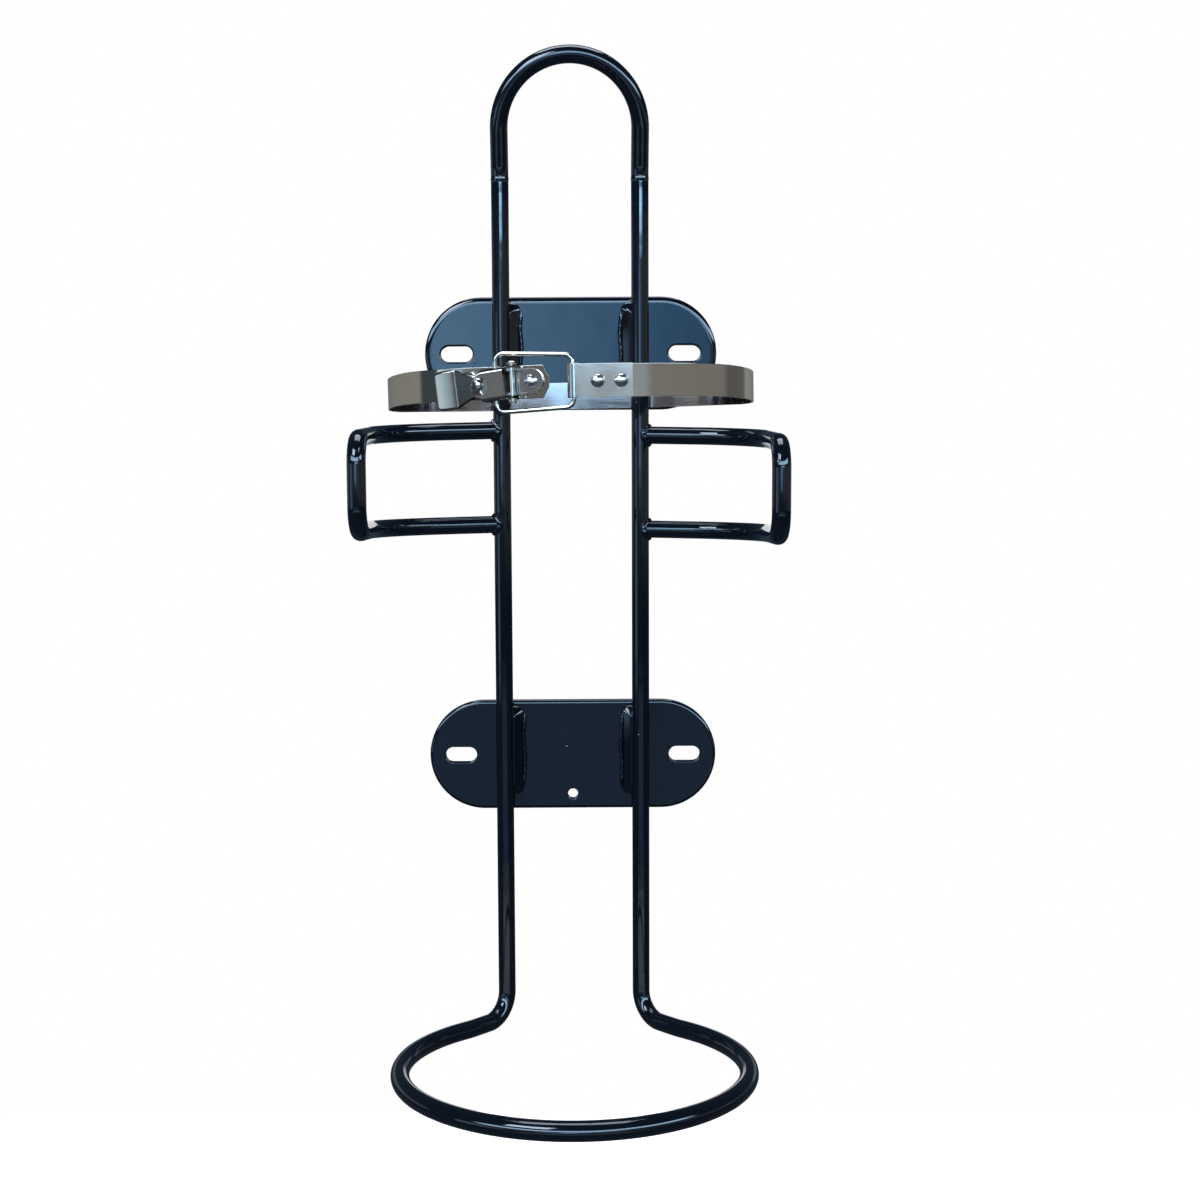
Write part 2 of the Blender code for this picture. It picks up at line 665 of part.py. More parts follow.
def lever_stations():
    """Along the lever, pin to tab: place, height, tilt, half width, flange depth and bend radius."""
    ear = LEVER_EAR
    bend, lip = LEVER_BEND_RADIUS, LEVER_LIP_RADIUS
    stations = []
    for angle in (math.radians(72), math.radians(52), math.radians(32), math.radians(14), 0.0):
        up = ear * math.cos(angle)
        depth = 2 * up
        stations.append((ear * math.sin(angle), up, 0.0, LEVER_HALF, depth, min(bend, 0.8 * depth)))
    flange, neck = LEVER_FLANGE_LENGTH, LEVER_NECK_LENGTH
    waist = LEVER_NECK_WIDTH / 2
    shoulder = 0.6 * LEVER_HALF + 0.4 * waist
    tab = LEVER_TAB_WIDTH / 2
    ridge = 0.94 * tab
    rim = 1.1 * lip
    stations.append((-0.75 * flange, ear, 0.0, LEVER_HALF, 2 * ear, bend))
    stations.append((-flange, ear, 0.0, LEVER_HALF, 1.6 * ear, bend))
    stations.append((-flange - 0.3 * neck, ear, 0.0, shoulder, ear, 0.8 * bend))
    stations.append((-flange - 0.6 * neck, ear, 0.0, waist, rim, lip))
    foot = flange + neck
    rise = LEVER_RISE
    run = rise / math.tan(LEVER_SLOPE)
    stations.append((-foot, ear + 0.05 * rise, 0.4 * LEVER_SLOPE, waist, rim, lip))
    flare = 0.8 * waist + 0.2 * ridge
    stations.append((-foot - 0.25 * run, ear + 0.23 * rise, LEVER_SLOPE, flare, rim, lip))
    stations.append((-foot - 0.82 * run, ear + 0.82 * rise, LEVER_SLOPE, ridge, rim, lip))
    edge = foot + LEVER_CREST * run
    stations.append((-edge, ear + rise, 0.4 * LEVER_SLOPE, tab, rim, lip))
    for share, fall, tilt, width in (
        (0.12, -0.02, 0.1, 1.0),
        (0.35, -0.01, -0.06, 1.0),
        (0.6, 0.06, -0.16, 1.0),
        (0.82, 0.16, -0.26, 0.97),
        (0.94, 0.24, -0.34, 0.88),
        (1.0, 0.29, -0.4, 0.74),
    ):
        place = -edge - share * LEVER_TAB_LENGTH
        stations.append((place, ear + rise - fall * rise, tilt, width * tab, rim, lip))
    return stations


def build_lever(parent, steel):
    """The lever: a folded channel over the base's ears, with a raised finger tab. Origin on the pin."""
    bm = bmesh.new()
    rings = []
    for along, up, tilt, half, depth, bend in lever_stations():
        ring = []
        for height, inward in lever_section(half, depth, bend):
            x = along - inward * math.sin(tilt)
            y = -(up - inward * math.cos(tilt))
            ring.append(bm.verts.new((x, y, height)))
        rings.append(ring)
    count = len(rings[0])
    for a, b in zip(rings, rings[1:]):
        for k in range(count):
            bm.faces.new((a[k], a[(k + 1) % count], b[(k + 1) % count], b[k]))
    bm.faces.new(rings[0])
    bm.faces.new(rings[-1])
    bm.transform(Matrix.Rotation(-LEVER_SKEW, 4, "Y"))
    lever = finish_mesh("lever", bm, parent, steel, sharp=40.0)
    window_left = -LEVER_WINDOW_MARGIN
    window = prism(
        rounded_rectangle((window_left, -0.012), (0.012, 0.012), 0.001, 2),
        -LEVER_INNER_WIDTH / 2 + 0.0001,
        LEVER_INNER_WIDTH / 2 - 0.0001,
    )
    window.transform(Matrix.Rotation(-LEVER_SKEW, 4, "Y"))
    boolean(lever, finish_mesh("lever_window", window, parent))
    bore = prism(circle(PIN_DIAMETER / 2 + RUNNING_GAP, 20), -0.02, 0.02)
    boolean(lever, finish_mesh("lever_pin_bore", bore, parent))
    bail_bore = prism(
        circle(BAIL_WIRE / 2 + RUNNING_GAP, 20, (-BAIL_CRANK, BAIL_SEAT_DROP)),
        -0.02,
        0.02,
    )
    boolean(lever, finish_mesh("lever_bail_bore", bail_bore, parent))
    hole = prism(circle(LEVER_HOLE_DIAMETER / 2, 24, (-LEVER_HOLE_OFFSET, 0.0)), -0.012, 0.0, "Y")
    hole.transform(Matrix.Rotation(-LEVER_SKEW, 4, "Y"))
    boolean(lever, finish_mesh("lever_sight_hole", hole, parent))
    return lever


def catch_seat():
    """The middle of the bail's far leg in the strap's plan, hooked in the catch plate's fold."""
    out, along = tangent_frame(CATCH_ANGLE, 1)
    leg = CATCH_SHEET + 2 * SEAT_GAP + BAIL_WIRE / 2
    inner_wall = -CATCH_LENGTH / 2 + CATCH_SHEET
    place = inner_wall + BAIL_WIRE / 2 + 2.6 * SEAT_GAP
    return out * (STRAP_OUTER + SEAT_GAP + leg) + along * place


def build_catch(parent, steel):
    """The catch plate: flat on the strap, its left end folded forward and back into a hook."""
    half = CATCH_WIDTH / 2
    sheet = CATCH_SHEET
    radius = CATCH_FOLD_GAP / 2 + sheet / 2
    middle = -(SEAT_GAP + sheet / 2)
    left = -CATCH_LENGTH / 2 + radius + sheet / 2
    stations = [(Vector((CATCH_LENGTH / 2, middle)), half, 0.0), (Vector((left, middle)), half, 0.0)]
    for point in arc((left, middle - radius), radius, math.pi / 2, 1.5 * math.pi, 12)[1:]:
        stations.append((point, half, 0.0))
    end = -CATCH_LENGTH / 2 + CATCH_FLAP_LENGTH
    front = middle - 2 * radius
    for share, cut in ((1.0, 0.0), (0.5, 0.14), (0.15, 0.5), (0.0, 1.0)):
        point = Vector((end - share * CATCH_FLAP_CORNER, front))
        stations.append((point, half - cut * CATCH_FLAP_CORNER, 0.0))
    return strip("catch_plate", stations, sheet, parent, steel)


def build_bail(parent, steel, far):
    """The bail: a closed wire loop. Origin on the leg that turns in the lever; far is its other leg."""
    left = (BAIL_LEFT_HEIGHT - BAIL_WIRE) / 2
    right = (BAIL_RIGHT_HEIGHT - BAIL_WIRE) / 2
    near = Vector((0.0, 0.0, 0.0))
    corners = [
        near + Vector((0, 0, left)),
        far + Vector((0, 0, right)),
        far - Vector((0, 0, right)),
        near - Vector((0, 0, left)),
    ]
    points = []
    for i in range(4):
        points += fillet(corners[i - 1], corners[i], corners[(i + 1) % 4], BAIL_CORNER_RADIUS, 6)
    bm = swept_rod("bail", points, BAIL_WIRE, WIRE_BEVEL_RESOLUTION, cyclic=True)
    return finish_mesh("bail", bm, parent, steel)


def build_wall_side(paint):
    """The two wall plates and the four pads that stand the rod off them."""
    lower = -PLATE_SPACING
    build_plate("upper_plate", 0.0, paint)
    drill_tie_hole(build_plate("lower_plate", lower, paint), lower)
    for side, place in ((-1, "left"), (1, "right")):
        build_pad(f"upper_{place}_pad", side, 0.0, UPPER_PAD_HEIGHT, paint)
        build_pad(f"lower_{place}_pad", side, lower, LOWER_PAD_HEIGHT, paint)


def build_strap_side(steel, satin, bright):
    """The strap and the latch that closes it, laid out round the cylinder's axis."""
    centre = (0.0, ROD_Y - STRAP_FORWARD, -STRAP_DROP)
    axis = make_empty("strap_frame", location=centre, rotation=(0.0, -STRAP_ROLL, 0.0))
    out, along = tangent_frame(LATCH_ANGLE, -1)
    latch = make_empty(
        "latch_frame",
        axis,
        location=(*(out * STRAP_OUTER), 0.0),
        rotation=(0.0, -LATCH_ROLL, -LATCH_ANGLE),
    )
    out, along = tangent_frame(CATCH_ANGLE, 1)
    catch = make_empty(
        "catch_frame", axis, location=(*(out * STRAP_OUTER), 0.0), rotation=(0.0, 0.0, CATCH_ANGLE)
    )
    lever_axis = make_empty("lever_axis", latch, location=(PIN_OFFSET, -PIN_HEIGHT, 0.0))
    bail_axis = make_empty("bail_axis", lever_axis, location=(-BAIL_CRANK, BAIL_SEAT_DROP, 0.0))
    bpy.context.view_layer.update()
    strap = build_strap(axis, steel)
    base = build_base(latch, steel)
    build_pin(lever_axis, bright)
    build_lever(lever_axis, steel)
    for sign, place in ((-1, "left"), (1, "right")):
        middle = (BASE_RIGHT - BASE_WIDTH / 2 - BASE_RIVET_SPACING / 2) * 1.0
        along = middle + sign * BASE_RIVET_SPACING / 2
        build_rivet(f"base_{place}_rivet", latch, along, LATCH_SHEET, bright, (strap, base))
    plate = build_catch(catch, satin)
    for sign, place in ((0, "right"), (1, "left")):
        along = CATCH_LENGTH / 2 - CATCH_RIVET_MARGIN - sign * CATCH_RIVET_SPACING
        build_rivet(f"catch_{place}_rivet", catch, along, CATCH_SHEET, bright, (strap, plate))
    seat = axis.matrix_world @ Vector((*catch_seat(), 0.0))
    build_bail(bail_axis, bright, bail_axis.matrix_world.inverted() @ seat)


def main():
    clear_scene()
    paint = make_material("black_gloss_paint", (0.012, 0.016, 0.024), 0.0, 0.18)
    steel = make_material("stainless_strip", (0.42, 0.41, 0.39), 1.0, 0.22)
    satin = make_material("satin_stainless", (0.48, 0.52, 0.55), 1.0, 0.38)
    bright = make_material("bright_steel", (0.72, 0.70, 0.67), 1.0, 0.12)
    build_frame_rod(paint)
    build_arm("left_arm", -1, LEFT_ARM_DROP, LEFT_ARM_REACH, paint)
    build_arm("right_arm", 1, RIGHT_ARM_DROP, RIGHT_ARM_REACH, paint)
    build_wall_side(paint)
    build_strap_side(steel, satin, bright)


main()
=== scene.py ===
"""Looks of the fire extinguisher bracket: enamelled rod frame, stainless strap and toggle latch.

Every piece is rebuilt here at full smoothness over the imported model's own place and sizes, and
dressed with procedural finishes. Metres, +Z up, the wall at Y = 0, the camera towards +Y.
"""

from __future__ import annotations

import logging
import math
from dataclasses import dataclass, field
from enum import Enum
from typing import Any, Iterable, Sequence

import bmesh
import bpy
from mathutils import Matrix, Vector
from mathutils.geometry import interpolate_bezier

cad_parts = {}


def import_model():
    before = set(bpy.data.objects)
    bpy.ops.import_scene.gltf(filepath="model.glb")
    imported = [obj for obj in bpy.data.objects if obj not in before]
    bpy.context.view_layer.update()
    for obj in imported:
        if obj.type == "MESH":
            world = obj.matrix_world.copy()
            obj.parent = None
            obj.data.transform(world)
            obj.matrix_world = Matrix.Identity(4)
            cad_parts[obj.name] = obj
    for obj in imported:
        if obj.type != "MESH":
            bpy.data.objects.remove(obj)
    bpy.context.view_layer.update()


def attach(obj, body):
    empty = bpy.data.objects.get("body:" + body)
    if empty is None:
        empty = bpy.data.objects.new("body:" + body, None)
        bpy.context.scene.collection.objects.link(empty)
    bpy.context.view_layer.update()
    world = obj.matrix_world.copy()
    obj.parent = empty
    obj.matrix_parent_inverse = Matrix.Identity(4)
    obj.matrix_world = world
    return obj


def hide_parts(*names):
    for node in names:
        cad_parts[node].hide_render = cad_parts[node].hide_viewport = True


LOG = logging.getLogger("bracket")

Colour = tuple[float, float, float]
# Edges that turn by more degrees than this stay crisp in the shading
CRISP = 35.0
CRISP_WHEN_EASED = 55.0
MERGE_DISTANCE = 1e-7
BORE_STEPS = 28


class Body(Enum):
    """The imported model's moving bodies."""

    BRACKET = "bracket"
    LEVER = "lever"
    BAIL = "bail"


class Slot(Enum):
    """The record's material slots."""

    ENAMEL = "black_gloss_paint"
    STRIP = "stainless_strip"
    SATIN = "satin_stainless"
    BRIGHT = "bright_steel"


class Side(Enum):
    """Left and right as the camera sees them, with the sign of X."""

    LEFT = -1
    RIGHT = 1

    @property
    def word(self) -> str:
        """The side in lower case, as node names use it."""
        return self.name.lower()


class Axis(Enum):
    """The direction an outline is extruded along."""

    Y = "Y"
    Z = "Z"


# ---- Colour and nodes


def hex_to_linear(code: str) -> Colour:
    """Turns an sRGB hex colour to linear values.

    Args:
        code: six hex digits, with or without a hash sign.

    Returns:
        Linear red, green and blue.
    """
    digits = code.lstrip("#")
    values = []
    for i in (0, 2, 4):
        part = int(digits[i : i + 2], 16) / 255
        values.append(part / 12.92 if part <= 0.04045 else ((part + 0.055) / 1.055) ** 2.4)
    return (values[0], values[1], values[2])


def add_node(tree: bpy.types.NodeTree, kind: str, inputs: dict[Any, Any] | None = None, **settings: Any) -> Any:
    """Adds one node with its settings, values and links.

    Args:
        tree: the node tree that gets the node.
        kind: the node's type name.
        inputs: socket name or number to a value, or to the socket that feeds it.
        **settings: the node's own properties.

    Returns:
        The new node.
    """
    made = tree.nodes.new(kind)
    for key, value in settings.items():
        setattr(made, key, value)
    for key, value in (inputs or {}).items():
        if isinstance(value, bpy.types.NodeSocket):
            tree.links.new(value, made.inputs[key])
        else:
            made.inputs[key].default_value = value
    return made


def new_material(name: str) -> tuple[bpy.types.Material, bpy.types.NodeTree, Any]:
    """Starts a node material.

    Args:
        name: the material's name.

    Returns:
        The material, its node tree and its shader.
    """
    material = bpy.data.materials.new(name)
    material.use_nodes = True
    return material, material.node_tree, material.node_tree.nodes["Principled BSDF"]


# ---- Paths and outlines


def arc(centre: Sequence[float], radius: float, start: float, end: float, steps: int) -> list[Vector]:
    """Points of a plane arc, both ends included.

    Args:
        centre: the arc's centre in its plane.
        radius: its radius.
        start: first angle in radians, from the first axis.
        end: last angle.
        steps: how many pieces it is cut into.

    Returns:
        The points as two-number vectors.
    """
    points = []
    for i in range(steps + 1):
        angle = start + (end - start) * i / steps
        points.append(Vector((centre[0] + radius * math.cos(angle), centre[1] + radius * math.sin(angle))))
    return points


def fillet(before: Vector, corner: Vector, after: Vector, radius: float, steps: int) -> list[Vector]:
    """The arc that rounds one corner of a path in space.

    Args:
        before: the point before the corner.
        corner: the corner itself.
        after: the point after it.
        radius: the bend's middle-line radius.
        steps: how many pieces the bend is cut into.

    Returns:
        The bend's points.
    """
    into = (corner - before).normalized()
    out = (after - corner).normalized()
    turn = into.angle(out)
    start = corner - into * radius * math.tan(turn / 2)
    inward = (out - into * out.dot(into)).normalized()
    centre = start + inward * radius
    points = []
    for i in range(steps + 1):
        angle = turn * i / steps
        points.append(centre - inward * radius * math.cos(angle) + into * radius * math.sin(angle))
    return points


def filleted(corners: Sequence[Vector], radii: Sequence[float], steps: int) -> list[Vector]:
    """A path through corners, each inner one rounded.

    Args:
        corners: the path's corners, its two ends included.
        radii: one bend radius for each inner corner.
        steps: how many pieces each bend is cut into.

    Returns:
        The path's points.
    """
    points = [corners[0]]
    for i, radius in enumerate(radii):
        points += fillet(corners[i], corners[i + 1], corners[i + 2], radius, steps)
    points.append(corners[-1])
    return points


def slot_outline(length: float, width: float, steps: int, centre: Sequence[float] = (0.0, 0.0)) -> list[Vector]:
    """Two half circles joined by straight sides, the shape of the wall plates and their slots.

    Args:
        length: end to end.
        width: side to side.
        steps: how many pieces each half circle is cut into.
        centre: the middle of the outline.

    Returns:
        The outline's points, once round.
    """
    radius = width / 2
    half = length / 2 - radius
    right = arc((centre[0] + half, centre[1]), radius, -math.pi / 2, math.pi / 2, steps)
    left = arc((centre[0] - half, centre[1]), radius, math.pi / 2, 3 * math.pi / 2, steps)
    return right + left


def round_outline(radius: float, steps: int, centre: Sequence[float] = (0.0, 0.0)) -> list[Vector]:
    """A circle's points, the first not repeated at the end."""
    return arc(centre, radius, 0.0, 2 * math.pi * (steps - 1) / steps, steps - 1)


def box_outline(low: Sequence[float], high: Sequence[float], radius: float, steps: int) -> list[Vector]:
    """A rectangle with four round corners.

    Args:
        low: its lower left corner.
        high: its upper right corner.
        radius: the corner radius.
        steps: how many pieces each corner is cut into.

    Returns:
        The outline's points, once round.
    """
    corners = (
        (high[0] - radius, high[1] - radius, 0.0),
        (low[0] + radius, high[1] - radius, math.pi / 2),
        (low[0] + radius, low[1] + radius, math.pi),
        (high[0] - radius, low[1] + radius, 1.5 * math.pi),
    )
    points = []
    for x, y, start in corners:
        points += arc((x, y), radius, start, start + math.pi / 2, steps)
    return points


# ---- Meshes


def keep_mesh(name: str, bm: bmesh.types.BMesh, place: Matrix | None = None, sharp: float = CRISP) -> bpy.types.Object:
    """Turns a mesh under construction into an object of the scene.

    Args:
        name: the object's name.
        bm: the mesh, which is freed.
        place: where it goes, as a matrix to the model's frame.
        sharp: edges that turn by more than this many degrees stay crisp.

    Returns:
        The new object, its own origin at the model's origin.
    """
    bmesh.ops.remove_doubles(bm, verts=bm.verts, dist=MERGE_DISTANCE)
    bmesh.ops.recalc_face_normals(bm, faces=bm.faces)
    mesh = bpy.data.meshes.new(name)
    bm.to_mesh(mesh)
    bm.free()
    if place:
        mesh.transform(place)
    mesh.shade_smooth()
    mesh.set_sharp_from_angle(angle=math.radians(sharp))
    made = bpy.data.objects.new(name, mesh)
    bpy.context.scene.collection.objects.link(made)
    return made


def bake(obj: bpy.types.Object, sharp: float | None = None) -> None:
    """Writes an object's modifiers into its mesh.

    Args:
        obj: the object.
        sharp: edges that turn by more than this many degrees are marked crisp; None leaves the shading as it is.
    """
    graph = bpy.context.evaluated_depsgraph_get()
    old = obj.data
    mesh = bpy.data.meshes.new_from_object(obj.evaluated_get(graph))
    obj.modifiers.clear()
    obj.data = mesh
    mesh.name = obj.name
    bpy.data.meshes.remove(old)
    if sharp is not None:
        mesh.shade_smooth()
        mesh.set_sharp_from_angle(angle=math.radians(sharp))


def weigh_normals(obj: bpy.types.Object) -> None:
    """Lets an object's broad faces rule its shading, so that narrow roundings don't bend the light on them.

    Args:
        obj: the object.
    """
    modifier = obj.modifiers.new("Weighed", "WEIGHTED_NORMAL")
    modifier.weight = 100
    modifier.keep_sharp = True
    bake(obj)


def combine(obj: bpy.types.Object, tools: Iterable[bpy.types.Object], operation: str = "DIFFERENCE") -> None:
    """Cuts or joins an object with helpers, which are then thrown away.

    Args:
        obj: the object that is cut or added to.
        tools: the helpers.
        operation: what is done with them.
    """
    helpers = list(tools)
    for tool in helpers:
        modifier = obj.modifiers.new(operation.title(), "BOOLEAN")
        modifier.operation = operation
        modifier.solver = "EXACT"
        modifier.object = tool
    bake(obj, CRISP)
    for tool in helpers:
        bpy.data.objects.remove(tool, do_unlink=True)


def ease_edges(obj: bpy.types.Object, width: float, segments: int = 2, angle: float = 40.0) -> None:
    """Rounds an object's crisp edges, as tumbling or paint does, and keeps its flat faces flat to the light.

    Args:
        obj: the object.
        width: how wide the rounding is.
        segments: how many faces it has.
        angle: only edges that turn by more than this many degrees are rounded.
    """
    modifier = obj.modifiers.new("Eased", "BEVEL")
    modifier.width = width
    modifier.segments = segments
    modifier.limit_method = "ANGLE"
    modifier.angle_limit = math.radians(angle)
    modifier.use_clamp_overlap = True
    modifier.harden_normals = True
    obj.data.shade_smooth()
    obj.data.set_sharp_from_angle(angle=math.radians(CRISP_WHEN_EASED))
    bake(obj)


def rod_mesh(
    points: Sequence[Vector], diameter: float, sides: int, closed: bool = False, swell: Sequence[float] | None = None
) -> bmesh.types.BMesh:
    """A round rod along a path.

    Args:
        points: the rod's middle line.
        diameter: the rod's diameter.
        sides: how many faces go round it, an even number.
        closed: whether the last point joins the first.
        swell: the rod's local thickness as a factor, one for each point.

    Returns:
        The rod's mesh.
    """
    curve = bpy.data.curves.new("rod_path", "CURVE")
    curve.dimensions = "3D"
    curve.bevel_depth = diameter / 2
    curve.bevel_resolution = (sides - 4) // 2
    curve.use_fill_caps = not closed
    spline = curve.splines.new("POLY")
    spline.points.add(len(points) - 1)
    for i, point in enumerate(points):
        spline.points[i].co = (*point, 1.0)
        spline.points[i].radius = swell[i] if swell else 1.0
    spline.use_cyclic_u = closed
    guide = bpy.data.objects.new("rod_path", curve)
    bpy.context.scene.collection.objects.link(guide)
    graph = bpy.context.evaluated_depsgraph_get()
    mesh = bpy.data.meshes.new_from_object(guide.evaluated_get(graph))
    bpy.data.objects.remove(guide, do_unlink=True)
    bm = bmesh.new()
    bm.from_mesh(mesh)
    bpy.data.meshes.remove(mesh)
    return bm


def prism(outline: Sequence[Sequence[float]], low: float, high: float, axis: Axis = Axis.Z) -> bmesh.types.BMesh:
    """A flat outline extruded straight.

    Args:
        outline: its points; across Y they are X and Z, across Z they are X and Y.
        low: where the extrusion starts.
        high: where it ends.
        axis: the direction it goes.

    Returns:
        The closed mesh.
    """
    bm = bmesh.new()
    if axis is Axis.Z:
        ring = [bm.verts.new((x, y, low)) for x, y in outline]
        shift = Vector((0, 0, high - low))
    else:
        ring = [bm.verts.new((x, low, y)) for x, y in outline]
        shift = Vector((0, high - low, 0))
    made = bmesh.ops.extrude_face_region(bm, geom=[bm.faces.new(ring)])
    moved = [item for item in made["geom"] if isinstance(item, bmesh.types.BMVert)]
    bmesh.ops.translate(bm, verts=moved, vec=shift)
    return bm


def lofted(rings: Sequence[Sequence[Sequence[float]]]) -> bmesh.types.BMesh:
    """A closed body through outlines of equal count, its first and last one capped.

    Args:
        rings: the outlines in order.

    Returns:
        The closed mesh.
    """
    bm = bmesh.new()
    verts = [[bm.verts.new(point) for point in ring] for ring in rings]
    count = len(verts[0])
    for a, b in zip(verts, verts[1:]):
        for k in range(count):
            bm.faces.new((a[k], a[(k + 1) % count], b[(k + 1) % count], b[k]))
    bm.faces.new(verts[0])
    bm.faces.new(verts[-1])
    return bm


def crowned(
    low: Sequence[float], high: Sequence[float], corner: float, front: float, back: float, reach: float, depth: float
) -> bmesh.types.BMesh:
    """A plate with round corners whose front falls away to its edges, as a pad under weld and paint does.

    Args:
        low: its lower left corner, X and Z.
        high: its upper right corner.
        corner: its corner radius.
        front: the Y of its front.
        back: the Y of its back.
        reach: how far in from the edge the fall starts.
        depth: how deep the fall is.

    Returns:
        The closed mesh.
    """
    rings = [[Vector((p.x, back, p.y)) for p in box_outline(low, high, corner, 8)]]
    for i in range(9):
        share = i / 8
        inset = reach * share
        y = front + depth * (1 - share) ** 1.25
        inner_low = (low[0] + inset, low[1] + inset)
        inner_high = (high[0] - inset, high[1] - inset)
        outline = box_outline(inner_low, inner_high, max(corner - inset, 0.0004), 8)
        rings.append([Vector((p.x, y, p.y)) for p in outline])
    return lofted(rings)


def turned(profile: Sequence[tuple[float, float]], steps: int = 40) -> bmesh.types.BMesh:
    """A turned piece.

    Args:
        profile: (radius, height) points from one end of the axis to the other.
        steps: how many faces go round it.

    Returns:
        The profile spun round Z.
    """
    bm = bmesh.new()
    verts = [bm.verts.new((radius, 0, height)) for radius, height in profile]
    edges = [bm.edges.new((a, b)) for a, b in zip(verts, verts[1:])]
    bmesh.ops.spin(
        bm, geom=verts + edges, cent=(0, 0, 0), axis=(0, 0, 1), angle=2 * math.pi, steps=steps, use_merge=True
    )
    return bm


def strip_mesh(stations: Sequence[tuple[Vector, float]], thickness: float, edge: float) -> bmesh.types.BMesh:
    """A sheet strip on edge, with its four long edges rounded as a slit and deburred band has them.

    Args:
        stations: points of the strip's middle line, each with half the strip's height there.
        thickness: the sheet's thickness.
        edge: how far the rounding of the long edges reaches.

    Returns:
        The closed mesh.
    """
    half = thickness / 2
    section = []
    for out, up in ((1, 1), (-1, 1), (-1, -1), (1, -1)):
        first = (out * half, up, -edge) if out * up > 0 else (out * (half - edge * 0.8), up, 0.0)
        middle = (out * (half - edge * 0.22), up, -edge * 0.28)
        last = (out * (half - edge * 0.8), up, 0.0) if out * up > 0 else (out * half, up, -edge)
        section += [first, middle, last]
    rings = []
    for i, (point, height) in enumerate(stations):
        before = stations[max(i - 1, 0)][0]
        after = stations[min(i + 1, len(stations) - 1)][0]
        along = (after - before).normalized()
        side = Vector((-along.y, along.x))
        ring = []
        for out, up, back in section:
            ring.append((point.x + side.x * out, point.y + side.y * out, up * (height + back)))
        rings.append(ring)
    return lofted(rings)


def settle(
    obj: bpy.types.Object, material: bpy.types.Material, body: Body, nodes: Sequence[str] = ()
) -> None:
    """Dresses a piece and says what it moves with and which solids it stands for.

    Args:
        obj: the piece.
        material: its finish.
        body: the body it moves with.
        nodes: the solids it replaces.
    """
    obj.data.materials.clear()
    obj.data.materials.append(material)
    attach(obj, body.value)
    if nodes:
        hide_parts(*nodes)
    LOG.info("%s: %d faces on %s", obj.name, len(obj.data.polygons), body.value)


# ---- Finishes


